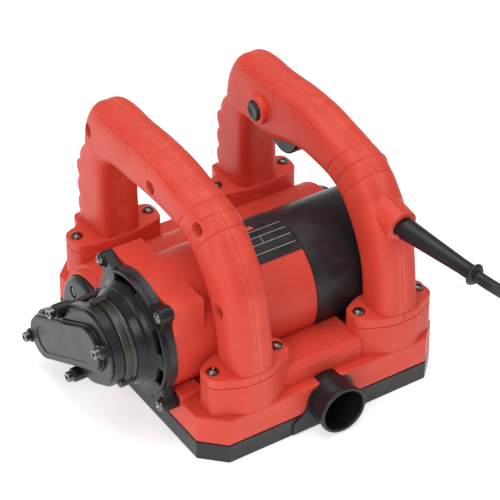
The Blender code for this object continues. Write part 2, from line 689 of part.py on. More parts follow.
def grooved_pulley(name, centre, radius, bore):
    low, high = BELT_MIDDLE - PULLEY_HALF, BELT_MIDDLE + PULLEY_HALF
    rim = radius + PULLEY_RIM_HEIGHT
    return turned(name, [(high, rim), (high - PULLEY_RIM, rim), (high - PULLEY_RIM, radius),
                         (low + PULLEY_RIM, radius), (low + PULLEY_RIM, rim), (low, rim),
                         (low, bore), (high, bore)], centre, STEEL, 18)


def ball_bearing(name, centre, low, high, radius, shaft_radius):
    """A sealed bearing as one ring, its shield set back on the low side."""
    bore, mid, step = shaft_radius + GAP, 0.35 * (radius - shaft_radius), 0.0006
    return turned(name, [(high, radius), (low, radius), (low, radius - mid),
                         (low + step, radius - mid), (low + step, bore + mid), (low, bore + mid),
                         (low, bore), (high, bore)], centre, STEEL, 16)


def brush_gear():
    y, z = MOTOR_AXIS
    outer = MOTOR_BORE - GAP
    seat = REAR_BEARING_RADIUS + GAP
    web = REAR_BEARING_X[0] - 0.005
    body = turned("brush_bracket",
                  [(web + 0.006, outer), (web, outer), (web, SHAFT_RADIUS + 0.002),
                   (web + 0.005 - GAP, SHAFT_RADIUS + 0.002), (web + 0.005 - GAP, seat),
                   (REAR_BEARING_X[1], seat), (REAR_BEARING_X[1], seat + 0.004),
                   (web + 0.006, seat + 0.004)], MOTOR_AXIS, BLACK, MEDIUM)
    middle = sum(COMMUTATOR_X) / 2
    half_x, half_y = BRUSH_SIZE[0] / 2, BRUSH_SIZE[1] / 2
    for side, direction in (("upper", 1), ("lower", -1)):
        near, far = z + direction * (COMMUTATOR_RADIUS + 0.002), z + direction * (outer - 0.0035)
        low, high = sorted((near, far))
        join(body, box(side + "_holder", (middle - half_x - 0.003, y - half_y - 0.003, low),
                       (web + 0.001, y + half_y + 0.003, high)))
        near, far = z + direction * COMMUTATOR_RADIUS, z + direction * (outer + 0.002)
        low, high = sorted((near, far))
        cut(body, box(side + "_channel", (middle - half_x - GAP, y - half_y - GAP, low),
                      (middle + half_x + GAP, y + half_y + GAP, high)))
        touch = z + direction * (COMMUTATOR_RADIUS + GAP)
        low, high = sorted((touch, touch + direction * BRUSH_SIZE[2]))
        box(side + "_carbon_brush", (middle - half_x, y - half_y, low),
            (middle + half_x, y + half_y, high), CARBON)
    ball_bearing("motor_rear_bearing", MOTOR_AXIS, *REAR_BEARING_X, REAR_BEARING_RADIUS,
                 SHAFT_RADIUS)
    width, height = 0.056, 0.0372
    half = math.sqrt((MOTOR_BORE - GAP) ** 2 - (width / 2) ** 2)
    box("soft_start_module", (MODULE_X[0], y - width / 2, z - half + 0.0002),
        (MODULE_X[1], y + width / 2, z - half + height), BLACK)


# ---- gear end ----

def end_flange():
    back = MOTOR_LEFT - GAP
    front = FLANGE_FRONT
    body = turned("end_flange",
                  [(back, FLANGE_RADIUS), (front + 0.0015, FLANGE_RADIUS),
                   (front, FLANGE_RADIUS - 0.0015), (front, DOME_RADIUS + 0.004),
                   (front - 0.005, DOME_RADIUS), (DOME_FRONT, RING_RADIUS + 0.002),
                   (DOME_FRONT, RING_RADIUS - 0.004), (DOME_FRONT + WALL, RING_RADIUS - 0.004),
                   (front - 0.004, DOME_RADIUS - WALL), (front + 0.003, MOTOR_BORE - 0.002),
                   (back, MOTOR_BORE - 0.002)], MOTOR_AXIS, BLACK, LARGE)
    centre = Vector((0, *MOTOR_AXIS))
    for degrees in FLANGE_EARS:
        place = on_circle(MOTOR_AXIS, EAR_CIRCLE, degrees)
        reach = -SIDE - GAP if degrees == FLANGE_EARS[2] else back
        join(body, along_x(f"ear_{degrees}", place, front - STEP, reach, EAR_RADIUS, segments=SMALL))
        turn = Matrix.Translation(centre) @ Matrix.Rotation(math.radians(degrees - 90), 4, "X")
        join(body, box(f"ear_root_{degrees}", (front + STEP, -EAR_RADIUS + STEP, FLANGE_RADIUS - 0.005),
                       (back - STEP, EAR_RADIUS - STEP, EAR_CIRCLE), turn=turn))
        cut(body, along_x(f"ear_bore_{degrees}", place, -0.2, 0, SCREW_HOLE, segments=TINY))
    join(body, along_x("column_pad", LUGS["upper"], front + 2 * STEP, back - 2 * STEP, LUG_RADIUS,
                       segments=SMALL))
    for start, end in ((76, 87), (95, 108), (146, 166), (174, 194), (330, 345)):
        band = (arc(MOTOR_AXIS, FLANGE_RADIUS - 0.0025, math.radians(start), math.radians(end), 4)
                + arc(MOTOR_AXIS, FLANGE_RADIUS - 0.0062, math.radians(end),
                      math.radians(start), 4))
        cut(body, prism(f"flange_vent_{start}", [band], "YZ", -0.15, front + 0.009))
    return body


def bearing_ring():
    seat = FRONT_BEARING_RADIUS + GAP
    turned("bearing_ring",
           [(DOME_FRONT - GAP, RING_RADIUS), (RING_FRONT + 0.001, RING_RADIUS),
            (RING_FRONT, RING_RADIUS - 0.001), (RING_FRONT, seat), (DOME_FRONT + 0.001, seat),
            (DOME_FRONT + 0.001, SHAFT_RADIUS + 0.004), (DOME_FRONT + 0.003, SHAFT_RADIUS + 0.004),
            (DOME_FRONT + 0.003, RING_RADIUS - 0.004 - GAP),
            (DOME_FRONT - GAP, RING_RADIUS - 0.004 - GAP)], MOTOR_AXIS, ALUMINIUM, MEDIUM)
    ball_bearing("motor_front_bearing", MOTOR_AXIS, RING_FRONT + GAP, DOME_FRONT + 0.001 - GAP,
                 FRONT_BEARING_RADIUS, SHAFT_RADIUS)


def gear_case():
    stadium = belt_outline(MOTOR_AXIS, CASE_RADIUS, DRUM_AXIS, CASE_RADIUS)
    body = prism("gear_case", [stadium], "YZ", CASE_FRONT, CASE_BACK - STEP, BLACK)
    neck_back = -CAP_OUTER - GAP
    join(body,
         prism("case_head", [belt_outline(MOTOR_AXIS, CASE_HEAD_RADIUS, HEAD_END, CASE_HEAD_RADIUS)],
               "YZ", CASE_FRONT - CASE_HEAD_RISE, CASE_BACK),
         along_x("neck", DRUM_AXIS, CASE_FRONT + 0.002, neck_back, NECK_RADIUS, segments=MEDIUM))
    for name, place in LUGS.items():
        join(body, along_x(name + "_lug", place, COVER_FRONT, CASE_BACK - 2 * STEP, LUG_RADIUS,
                           segments=SMALL))
    join(body, along_x("column", LUGS["upper"], CASE_BACK - 0.002, FLANGE_FRONT - GAP,
                       COLUMN_RADIUS, segments=TINY))
    for name, place in LUGS.items():
        cut(body, along_x(name + "_lug_bore", place, -0.2, CASE_BACK - 0.002, SCREW_HOLE,
                          segments=TINY))
    clear = belt_outline(MOTOR_AXIS, COVER_RADIUS + GAP, DRUM_AXIS, COVER_RADIUS + GAP)
    pocket = belt_outline(MOTOR_AXIS, COVER_BORE, DRUM_AXIS, COVER_BORE)
    bearing_end = neck_back - DRUM_BEARING_WIDTH - 2 * GAP
    cut(body,
        prism("cover_room", [clear], "YZ", -0.2, CASE_FRONT - STEP / 2),
        prism("case_pocket", [pocket], "YZ", -0.2, POCKET_FLOOR),
        along_x("motor_shaft_hole", MOTOR_AXIS, -0.2, 0, SHAFT_RADIUS + 0.004, segments=SMALL),
        along_x("drum_shaft_hole", DRUM_AXIS, -0.2, 0, DRUM_SHAFT_RADIUS + 0.002, segments=SMALL),
        along_x("drum_bearing_seat", DRUM_AXIS, bearing_end, 0, DRUM_BEARING_RADIUS + GAP,
                segments=MEDIUM))
    return body


def gear_cover():
    outer = belt_outline(MOTOR_AXIS, COVER_RADIUS, DRUM_AXIS, COVER_RADIUS)
    inner = belt_outline(MOTOR_AXIS, COVER_BORE, DRUM_AXIS, COVER_BORE)
    panel = belt_outline(MOTOR_AXIS, COVER_PANEL_RADIUS, DRUM_AXIS, COVER_PANEL_RADIUS)
    body = prism("gear_cover", [outer], "YZ", COVER_FRONT, COVER_BACK, BLACK)
    bevel(body, 0.0016, 1)
    cut(body,
        prism("cover_hollow", [inner], "YZ", COVER_CEILING, 0),
        prism("cover_panel", [panel], "YZ", -0.2, COVER_FRONT + COVER_PANEL_DEPTH))
    return body


def socket_screw(name, place):
    head, height, socket = 0.00425, 0.005, 0.0021
    face = COVER_FRONT - GAP
    body = turned(name, [(CASE_BACK - 0.004, 0.0), (CASE_BACK - 0.004, SCREW_SHANK),
                         (face, SCREW_SHANK), (face, head), (face - height + 0.0005, head),
                         (face - height, head - 0.0005), (face - height, socket),
                         (face - height + 0.0025, socket), (face - height + 0.0025, 0.0)],
                  place, DARK_STEEL, SMALL)
    return body


def belt_drive():
    outer_drive = DRIVE_PULLEY_RADIUS + GAP
    outer_driven = DRIVEN_PULLEY_RADIUS + GAP
    outer = belt_outline(MOTOR_AXIS, outer_drive + BELT_THICKNESS,
                         DRUM_AXIS, outer_driven + BELT_THICKNESS)
    inner = belt_outline(MOTOR_AXIS, outer_drive, DRUM_AXIS, outer_driven)
    prism("timing_belt", [outer, inner], "YZ", BELT_MIDDLE - BELT_WIDTH / 2,
          BELT_MIDDLE + BELT_WIDTH / 2, RUBBER)


# ---- cutting drum ----

def cutting_drum():
    bore = DRUM_SHAFT_RADIUS + GAP
    body = turned("cutter_drum", [(DRUM_HALF, DRUM_BODY_RADIUS), (-DRUM_HALF, DRUM_BODY_RADIUS),
                                  (-DRUM_HALF, bore), (DRUM_HALF, bore)], DRUM_AXIS,
                  DARK_STEEL, MEDIUM)
    pitch = (2 * DRUM_HALF - TOOTH_SIZE[0] - 0.004) / (DRUM_TEETH_PER_ROW - 1)
    for row in range(DRUM_ROWS):
        for index in range(DRUM_TEETH_PER_ROW):
            x = index * pitch - (DRUM_TEETH_PER_ROW - 1) * pitch / 2
            angle = 2 * math.pi * (row + index / DRUM_TEETH_PER_ROW) / DRUM_ROWS
            turn = Matrix.Translation((x, *DRUM_AXIS)) @ Matrix.Rotation(angle, 4, "X")
            tip = math.sqrt(DRUM_TIP_RADIUS ** 2 - (TOOTH_SIZE[1] / 2) ** 2)
            join(body, box(f"tooth_{row}_{index}",
                           (-TOOTH_SIZE[0] / 2, -TOOTH_SIZE[1] / 2, DRUM_BODY_RADIUS - 0.002),
                           (TOOTH_SIZE[0] / 2, TOOTH_SIZE[1] / 2, tip), turn=turn))
    right = CAP_OUTER - 0.0045
    shaft = turned("drum_shaft", [(right, 0.0), (right, DRUM_SHAFT_RADIUS),
                                  (COVER_CEILING + 0.0012, DRUM_SHAFT_RADIUS),
                                  (COVER_CEILING + 0.0012, 0.0)], DRUM_AXIS, STEEL, SMALL)
    pulley = grooved_pulley("driven_pulley", DRUM_AXIS, DRIVEN_PULLEY_RADIUS, bore)
    carrier("drum_axis", (0, *DRUM_AXIS), [body, shaft, pulley])
    neck_back = -CAP_OUTER - GAP
    ball_bearing("drum_left_bearing", DRUM_AXIS, neck_back - DRUM_BEARING_WIDTH - GAP,
                 neck_back - GAP, DRUM_BEARING_RADIUS, DRUM_SHAFT_RADIUS)
    ball_bearing("drum_right_bearing", DRUM_AXIS, CAP_OUTER - 0.004 - DRUM_BEARING_WIDTH - GAP,
                 CAP_OUTER - 0.004 - GAP, DRUM_BEARING_RADIUS, DRUM_SHAFT_RADIUS)


def end_caps():
    inner = SIDE - CAP_SPIGOT
    left = turned("drum_left_cap",
                  [(-inner, CAP_SPIGOT_RADIUS), (-CAP_INNER, CAP_SPIGOT_RADIUS),
                   (-CAP_INNER, CAP_RADIUS), (-CAP_OUTER + 0.003, CAP_RADIUS),
                   (-CAP_OUTER, CAP_RADIUS - 0.006), (-CAP_OUTER, DRUM_SHAFT_RADIUS + 0.002),
                   (-inner, DRUM_SHAFT_RADIUS + 0.002)], DRUM_AXIS, BLACK, MEDIUM)
    seat = DRUM_BEARING_RADIUS + GAP
    turned("drum_right_cap",
           [(CAP_OUTER, 0.0), (CAP_OUTER, CAP_RADIUS - 0.006), (CAP_OUTER - 0.003, CAP_RADIUS),
            (CAP_INNER, CAP_RADIUS), (CAP_INNER, CAP_SPIGOT_RADIUS), (inner, CAP_SPIGOT_RADIUS),
            (inner, seat), (CAP_OUTER - 0.004, seat), (CAP_OUTER - 0.004, 0.0)],
           DRUM_AXIS, BLACK, MEDIUM)
    depth = 0.0022
    for index, degrees in enumerate(CAP_SCREW_ANGLES, 1):
        place = on_circle(DRUM_AXIS, CAP_SCREW_CIRCLE, degrees)
        cut(left, along_x(f"cap_recess_{index}", place, -0.2, -CAP_OUTER + depth + GAP,
                          0.0040 + GAP, segments=SMALL),
            along_x(f"cap_bore_{index}", place, -0.2, 0, 0.0018 + GAP, segments=TINY))
        turned(f"cap_screw_{index}", [(-inner - 0.002, 0.0), (-inner - 0.002, 0.0018),
                                      (-CAP_OUTER + depth, 0.0018), (-CAP_OUTER + depth, 0.0040),
                                      (-CAP_OUTER + 0.0004, 0.0036), (-CAP_OUTER + 0.0004, 0.0)],
               place, DARK_STEEL, TINY)


# ---- handles ----

def handle_rings():
    """Pairs of inner and outer points down the loft, closer together than the stations."""
    return smooth_points(HANDLE_STATIONS, HANDLE_STEPS)


def half_section(ring, centre, side, count=5):
    """One closed C of a half shell: its outer wall from top to bottom, then its inner wall."""
    inner, outer = Vector(ring[:2]), Vector(ring[2:])
    middle, half = (inner + outer) / 2, (outer - inner).length / 2
    up = (outer - inner).normalized()
    points = []
    for wall, turns in ((0.0, range(count + 1)), (SHELL, range(count, -1, -1))):
        for i in turns:
            angle = math.pi * i / count
            rise, spread = math.cos(angle), math.sin(angle)
            rise = math.copysign(abs(rise) ** (2 / HANDLE_SQUARENESS), rise)
            spread = abs(spread) ** (2 / HANDLE_SQUARENESS)
            place = middle + up * rise * (half - wall)
            x = centre + side * (GAP / 2 + spread * (HANDLE_HALF_WIDTH - wall))
            points.append((x, place.x, place.y))
    return points


def handle_shell(name, centre, side):
    bm = bmesh.new()
    loops = [[bm.verts.new(point) for point in half_section(ring, centre, side)]
             for ring in handle_rings()]
    size = len(loops[0])
    for before, after in zip(loops, loops[1:]):
        for i in range(size):
            j = (i + 1) % size
            bm.faces.new((before[i], before[j], after[j], after[i]))
    bm.faces.new(loops[0])
    bm.faces.new(loops[-1])
    body = add_object(name, mesh_from(name, bm), RED)
    for end, half, top, screw in (("front", FRONT_FOOT, FRONT_FOOT_TOP, FRONT_SCREW),
                                  ("rear", REAR_FOOT, REAR_FOOT_TOP, REAR_SCREW)):
        outline = [(centre + side * max(x, GAP / 2), y) for x, y in half]
        foot = prism(f"{name}_{end}_foot", [outline], "XY", top - FOOT_THICKNESS, top)
        hole = rod(f"{name}_{end}_bore", (centre + side * screw[0], screw[1], top - 0.02),
                   (centre + side * screw[0], screw[1], top + 0.01), SCREW_HOLE, segments=TINY)
        join(body, foot)
        cut(body, hole)
    return body


def handles():
    for label, centre in zip(("left", "right"), HANDLE_X):
        outward = -1 if label == "left" else 1
        for place, side in (("outer", outward), ("inner", -outward)):
            shell = handle_shell(f"{label}_handle_{place}_shell", centre, side)
            if label == "right":
                fit_switch_and_cable(shell, centre, side)
            smooth(shell)


def fit_switch_and_cable(shell, centre, side):
    """The cable boss, trigger slot, pin sockets and lock button bore of one right-hand shell."""
    start, end = Vector(BOSS_START), Vector(BOSS_END)
    way = Vector(GUARD_DIRECTION).normalized()
    boss = rod(shell.name + "_boss", start, end, BOSS_RADIUS, segments=MEDIUM)
    edge = centre + side * GAP
    low, high = sorted((edge, edge + side * 0.1))
    keep(boss, box(shell.name + "_boss_half", (low, -1, 0), (high, 1, 1)))
    join(shell, boss)
    slot = TRIGGER_HALF_WIDTH + TRIGGER_SIDE_CLEARANCE
    cut(shell,
        rod(shell.name + "_guard_bore", end - way * (GUARD_ROOT + GAP), end + way * 0.03,
            GUARD_RADII[0] + GAP, segments=MEDIUM),
        box(shell.name + "_trigger_slot", (centre - slot, TRIGGER_SLOT[0], 0.150),
            (centre + slot, TRIGGER_SLOT[1], 0.1775)))
    if side < 0:
        y, z = BUTTON_CENTRE
        join(shell, along_x("button_boss", (y, z), *BUTTON_BOSS_X, BUTTON_BOSS_RADIUS,
                            segments=MEDIUM))
        cut(shell, along_x("button_bore", (y, z), 0.03, BUTTON_X[1] + 0.003,
                           BUTTON_RADIUS + GAP, segments=MEDIUM))


def handle_screws():
    for name, x, y, top in pedestal_screws():
        pan_screw(name, (x, y), False, top + GAP)


def switch_gear():
    centre = HANDLE_X[1]
    y, z = TRIGGER_PIVOT
    trigger = prism("trigger", [TRIGGER_OUTLINE], "YZ", centre - TRIGGER_HALF_WIDTH,
                    centre + TRIGGER_HALF_WIDTH, BLACK)
    bevel(trigger, 0.0010, 1)
    cut(trigger, rod("trigger_bore", (centre - 0.02, y, z), (centre + 0.02, y, z),
                     TRIGGER_PIN_RADIUS + GAP, segments=TINY))
    carrier("trigger_pivot", (centre, y, z), [trigger])
    reach = HANDLE_HALF_WIDTH - SHELL - TRIGGER_PIN_SHORT
    rod("trigger_pin", (centre - reach, y, z), (centre + reach, y, z), TRIGGER_PIN_RADIUS,
        STEEL, TINY)
    box("switch_body", (centre - SWITCH_HALF_WIDTH, SWITCH_Y[0], SWITCH_Z[0]),
        (centre + SWITCH_HALF_WIDTH, SWITCH_Y[1], SWITCH_Z[1]), BLACK)
    button = along_x("lock_button", BUTTON_CENTRE, *BUTTON_X, BUTTON_RADIUS, BLACK, MEDIUM)
    bevel(button, 0.0008, 1)
    carrier("lock_button_axis", (BUTTON_X[0], *BUTTON_CENTRE), [button])


# ---- supply cable ----

def cable_guard():
    root = Vector(BOSS_END)
    way = Vector(GUARD_DIRECTION).normalized()
    wide, thin = GUARD_RADII
    ring_radius, ring_length = GUARD_END_RING
    profile = [(GUARD_LENGTH, 0.0), (GUARD_LENGTH, thin + 0.001), (GUARD_LENGTH - 0.002, ring_radius),
               (GUARD_LENGTH - 0.002 - ring_length, ring_radius)]
    ribs, first = 6, 0.010
    pitch = (GUARD_LENGTH - 0.010 - first) / ribs
    for index in range(ribs - 1, -1, -1):
        at = first + index * pitch
        radius = wide + (thin - wide) * (at / GUARD_LENGTH)
        profile += [(at + 0.62 * pitch, radius - 0.0012), (at + 0.5 * pitch, radius),
                    (at, radius), (at - 0.12 * pitch, radius - 0.0012)]
    profile += [(0.007, wide + 0.0015), (GUARD_COLLAR, wide + 0.0015), (GUARD_COLLAR, wide - 0.0004),
                (-GUARD_ROOT, wide - 0.0004), (-GUARD_ROOT, 0.0)]
    made = turned("cable_guard", profile, (0, 0), RUBBER, TINY)
    made.rotation_euler = Vector((0, 0, 1)).rotation_difference(way).to_euler()
    made.location = root
    return root + way * GUARD_LENGTH, way


def supply_cable(tip, way):
    points = [tuple(tip + way * GAP), tuple(tip + way * 0.010), *CABLE_ROUTE]
    fine = [Vector(point) for point in smooth_points(points, 12)]
    travelled = [0.0]
    for before, after in zip(fine, fine[1:]):
        travelled.append(travelled[-1] + (after - before).length)
    curve = bpy.data.curves.new("supply_cable", "CURVE")
    curve.dimensions = "3D"
    curve.bevel_depth = CABLE_RADIUS
    curve.bevel_resolution = 2
    curve.use_fill_caps = True
    spline = curve.splines.new("POLY")
    spline.points.add(CABLE_POINTS - 1)
    at = 0
    for index in range(CABLE_POINTS):
        wanted = travelled[-1] * index / (CABLE_POINTS - 1)
        while at < len(fine) - 2 and travelled[at + 1] < wanted:
            at += 1
        share = (wanted - travelled[at]) / (travelled[at + 1] - travelled[at])
        spline.points[index].co = (*fine[at].lerp(fine[at + 1], min(share, 1.0)), 1.0)
    cable = bpy.data.objects.new("supply_cable", curve)
    cable.data.materials.append(RUBBER)
    PARTS.objects.link(cable)


def cable_coil():
    inner, outer = COIL_RADIUS - COIL_HALF_WIDTH, COIL_RADIUS + COIL_HALF_WIDTH
    edge = 0.6 * CABLE_RADIUS
    made = turned("cable_coil",
                  [(COIL_HEIGHT - edge, outer), (edge, outer), (0.0, outer - edge),
                   (0.0, inner + edge), (edge, inner), (COIL_HEIGHT - edge, inner),
                   (COIL_HEIGHT, inner + edge), (COIL_HEIGHT, outer - edge)], (0, 0), RUBBER, MEDIUM)
    made.rotation_euler = (0, 0, 0)
    made.location = (*COIL_CENTRE, 0.0)


def mains_plug():
    """A flat moulded plug lying on the coil, along Y, pins towards +Y."""
    x, y = COIL_CENTRE[0] + COIL_RADIUS, COIL_CENTRE[1] + 0.012
    low = COIL_HEIGHT + GAP
    across, length, thick = PLUG_SIZE
    mid = low + thick / 2
    body = box("mains_plug", (x - across / 2, y, low), (x + across / 2, y + length, low + thick),
               RUBBER)
    bevel(body, 0.005, 2)
    join(body, rod("plug_tail", (x, y - 0.016, mid), (x, y + 0.006, mid), 0.0062, segments=SMALL,
                   end_radius=0.0095))
    for side in (-1, 1):
        at = x + side * PLUG_PIN_SPACING / 2
        join(body, rod(f"plug_pin_{side}", (at, y + length - 0.004, mid),
                       (at, y + length + PLUG_PIN_LENGTH, mid), PLUG_PIN_RADIUS, segments=TINY))


def rating_plate():
    inner = MOTOR_RADIUS + GAP
    start, end = (math.radians(value) for value in PLATE_ANGLES)
    band = (arc(MOTOR_AXIS, inner + PLATE_THICKNESS, start, end, 10)
            + arc(MOTOR_AXIS, inner, end, start, 10))
    prism("rating_plate", [band], "YZ", *PLATE_X, LABEL)


def flange_screws():
    for index, degrees in enumerate(FLANGE_EARS, 1):
        place = on_circle(MOTOR_AXIS, EAR_CIRCLE, degrees)
        pan_screw(f"flange_screw_{index}", place, True, FLANGE_FRONT - STEP - GAP)


base_housing()
sole_plate()
dust_port()
motor_housing()
motor_tail_cover()
stator()
armature()
brush_gear()
end_flange()
bearing_ring()
gear_case()
gear_cover()
for lug, spot in LUGS.items():
    socket_screw(f"cover_{lug}_screw", tuple(spot))
belt_drive()
cutting_drum()
end_caps()
handles()
handle_screws()
switch_gear()
supply_cable(*cable_guard())
cable_coil()
mains_plug()
rating_plate()
flange_screws()
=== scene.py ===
# Two-handled wall chaser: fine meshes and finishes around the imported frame. Metres, +Z up.
import json
from math import atan2, copysign, cos, pi, radians, sin, sqrt
import bpy
import bmesh
from mathutils import Matrix, Vector


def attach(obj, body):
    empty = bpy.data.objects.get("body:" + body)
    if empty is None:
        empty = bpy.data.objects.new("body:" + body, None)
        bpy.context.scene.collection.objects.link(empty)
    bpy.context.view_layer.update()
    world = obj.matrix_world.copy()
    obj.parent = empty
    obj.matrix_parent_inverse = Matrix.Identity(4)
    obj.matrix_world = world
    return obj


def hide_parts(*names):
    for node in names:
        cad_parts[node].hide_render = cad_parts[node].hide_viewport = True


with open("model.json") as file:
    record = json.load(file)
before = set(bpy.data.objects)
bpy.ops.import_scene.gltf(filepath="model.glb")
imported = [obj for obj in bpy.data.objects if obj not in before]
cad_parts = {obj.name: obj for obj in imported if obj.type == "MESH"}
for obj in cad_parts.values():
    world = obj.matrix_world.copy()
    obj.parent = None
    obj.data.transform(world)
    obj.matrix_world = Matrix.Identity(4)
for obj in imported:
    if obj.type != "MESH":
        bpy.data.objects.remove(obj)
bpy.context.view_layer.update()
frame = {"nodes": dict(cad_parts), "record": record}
scene = bpy.context.scene
gap = 0.0003
print("frame loaded,", len(frame["nodes"]), "nodes")


def addObject(name, data):
    item = bpy.data.objects.new(name, data)
    scene.collection.objects.link(item)
    return item


def setInputs(node, values):
    for name, value in values.items():
        node.inputs[name].default_value = value


# ---- camera ----
cameraView = {"azimuth": -33.05, "elevation": 36.13, "distance": 1.6613, "lens": 142.1,
              "right": 0.0067, "up": 0.0717}

turnAz = radians(cameraView["azimuth"])
turnEl = radians(cameraView["elevation"])
back = Vector((sin(turnAz) * cos(turnEl), -cos(turnAz) * cos(turnEl), sin(turnEl)))
lookRotation = back.to_track_quat("Z", "Y")
target = lookRotation @ Vector((cameraView["right"], cameraView["up"], 0.0))
camera = addObject("camera", bpy.data.cameras.new("camera"))
camera.data.lens = cameraView["lens"]
camera.data.sensor_width = 36.0
camera.data.clip_start = 0.05
camera.location = target + back * cameraView["distance"]
camera.rotation_euler = lookRotation.to_euler()
scene.camera = camera


# ---- finishes ----
# tones: two mixed and the rubbed edge; rough: middle and spread; grain: scale and depth
finishes = {
    "red_plastic": {"tones": ((0.725, 0.068, 0.04), (0.655, 0.052, 0.031), (0.86, 0.15, 0.1)),
        "rough": (0.46, 0.1), "grain": (1500, 0.1), "shine": 0.32},
    "black_plastic": {"tones": ((0.0085, 0.0088, 0.0105), (0.012, 0.0124, 0.0145), (0.06, 0.06, 0.065)),
        "rough": (0.36, 0.05), "grain": (1400, 0.1), "shine": 0.36, "coat": 0.05},
    "gear_housing_plastic": {"tones": ((0.0075, 0.008, 0.0098), (0.0125, 0.013, 0.0155), (0.08, 0.08, 0.09)),
        "rough": (0.3, 0.1), "grain": (1700, 0.12), "shine": 0.3},
    "black_rubber": {"tones": ((0.009, 0.009, 0.0105), (0.015, 0.015, 0.017), (0.04, 0.04, 0.04)),
        "rough": (0.4, 0.12), "grain": (1100, 0.1), "shine": 0.4},
    "cast_aluminium": {"tones": ((0.13, 0.13, 0.124), (0.06, 0.058, 0.051), (0.6, 0.58, 0.54)),
        "rough": (0.42, 0.24), "grain": (700, 0.3), "metal": 1.0},
    "drum_metal": {"tones": ((0.34, 0.34, 0.35), (0.22, 0.22, 0.23), (0.6, 0.6, 0.6)),
        "rough": (0.34, 0.15), "grain": (900, 0.06), "metal": 1.0},
    "dark_screws": {"tones": ((0.225, 0.208, 0.19), (0.115, 0.1, 0.088), (0.75, 0.72, 0.68)),
        "rough": (0.22, 0.14), "grain": (1600, 0.05), "metal": 1.0},
    "laminations": {"tones": ((0.12, 0.11, 0.11), (0.2, 0.18, 0.17), (0.4, 0.4, 0.4)),
        "rough": (0.45, 0.12), "grain": (2000, 0.1), "metal": 1.0},
    "bright_steel": {"tones": ((0.58, 0.58, 0.58), (0.46, 0.46, 0.47), (0.8, 0.8, 0.8)),
        "rough": (0.22, 0.1), "grain": (1500, 0.04), "metal": 1.0},
    "copper": {"tones": ((0.68, 0.31, 0.18), (0.5, 0.2, 0.11), (0.85, 0.5, 0.35)),
        "rough": (0.3, 0.12), "grain": (1600, 0.05), "metal": 1.0},
    "carbon": {"tones": ((0.025, 0.025, 0.025), (0.05, 0.05, 0.05), (0.12, 0.12, 0.12)),
        "rough": (0.62, 0.1), "grain": (1800, 0.15)},
    "label_film": {"tones": ((0.006, 0.006, 0.007), (0.0095, 0.0095, 0.0105), (0.05, 0.05, 0.05)),
        "rough": (0.48, 0.08), "grain": (500, 0.03), "shine": 0.25},
    "label_print": {"tones": ((0.66, 0.66, 0.65), (0.52, 0.52, 0.51), (0.75, 0.75, 0.74)),
        "rough": (0.45, 0.1), "grain": (900, 0.03)},
}


def makeFinish(name, look):
    material = bpy.data.materials.new(name)
    material.use_nodes = True
    nodes, links = material.node_tree.nodes, material.node_tree.links
    shader = nodes["Principled BSDF"]
    place = nodes.new("ShaderNodeTexCoord")
    main, second, wear = look["tones"]
    rough, spread = look["rough"]
    grainScale, grainDepth = look["grain"]

    def noise(scale, detail, distortion=0.0):
        made = nodes.new("ShaderNodeTexNoise")
        setInputs(made, {"Scale": scale, "Detail": detail, "Distortion": distortion})
        links.new(place.outputs["Object"], made.inputs["Vector"])
        return made.outputs["Fac"]

    def ramp(source, low, high, first, second):
        made = nodes.new("ShaderNodeMapRange")
        setInputs(made, {"From Min": low, "From Max": high, "To Min": first, "To Max": second})
        links.new(source, made.inputs["Value"])
        return made.outputs["Result"]

    def mix(factor, first, second):
        made = nodes.new("ShaderNodeMix")
        made.data_type = "RGBA"
        links.new(factor, made.inputs["Factor"])
        for socket, value in ((made.inputs["A"], first), (made.inputs["B"], second)):
            if isinstance(value, tuple):
                socket.default_value = (*value, 1.0)
            else:
                links.new(value, socket)
        return made.outputs["Result"]

    cloud = ramp(noise(28, 4, 0.4), 0.35, 0.68, 0.0, 1.0)  # broad unevenness of the moulding
    speck = ramp(noise(grainScale * 0.35, 2), 0.45, 0.75, 0.0, 0.35)
    colour = mix(cloud, main, second)
    colour = mix(speck, colour, second)
    edge = nodes.new("ShaderNodeNewGeometry")  # rubbed, paler edges
    worn = nodes.new("ShaderNodeMath")
    worn.operation = "MULTIPLY"
    links.new(ramp(edge.outputs["Pointiness"], 0.53, 0.6, 0.0, 0.55), worn.inputs[0])
    links.new(ramp(noise(90, 5), 0.35, 0.62, 0.15, 1.0), worn.inputs[1])
    colour = mix(worn.outputs["Value"], colour, wear)
    links.new(colour, shader.inputs["Base Color"])
    links.new(ramp(noise(60, 6), 0.3, 0.7, rough - spread / 2, rough + spread / 2), shader.inputs["Roughness"])
    grain = nodes.new("ShaderNodeBump")
    setInputs(grain, {"Strength": grainDepth, "Distance": 0.0004})
    links.new(noise(grainScale, 3), grain.inputs["Height"])
    wave = nodes.new("ShaderNodeBump")
    setInputs(wave, {"Strength": 0.12, "Distance": 0.0008})
    links.new(noise(45, 2), wave.inputs["Height"])
    links.new(grain.outputs["Normal"], wave.inputs["Normal"])
    links.new(wave.outputs["Normal"], shader.inputs["Normal"])
    setInputs(shader, {"Metallic": look.get("metal", 0.0), "Specular IOR Level": look.get("shine", 0.5),
                       "Coat Weight": look.get("coat", 0.0), "Coat Roughness": 0.25})
    return material


materials = {name: makeFinish(name, look) for name, look in finishes.items()}
slotOf = {entry["node"]: entry["material_slot"] for entry in frame["record"]["subparts"]}
for node, item in frame["nodes"].items():
    item.data.materials.clear()
    item.data.materials.append(materials[slotOf[node]])
print("finishes made")


# ---- mesh helpers ----
def addPiece(name, bm):
    mesh = bpy.data.meshes.new(name)
    bmesh.ops.recalc_face_normals(bm, faces=bm.faces)
    bm.to_mesh(mesh)
    bm.free()
    return addObject(name, mesh)


def bake(piece):
    bpy.context.view_layer.update()
    ready = piece.evaluated_get(bpy.context.evaluated_depsgraph_get())
    mesh = bpy.data.meshes.new_from_object(ready)
    piece.modifiers.clear()
    piece.data = mesh
    return piece


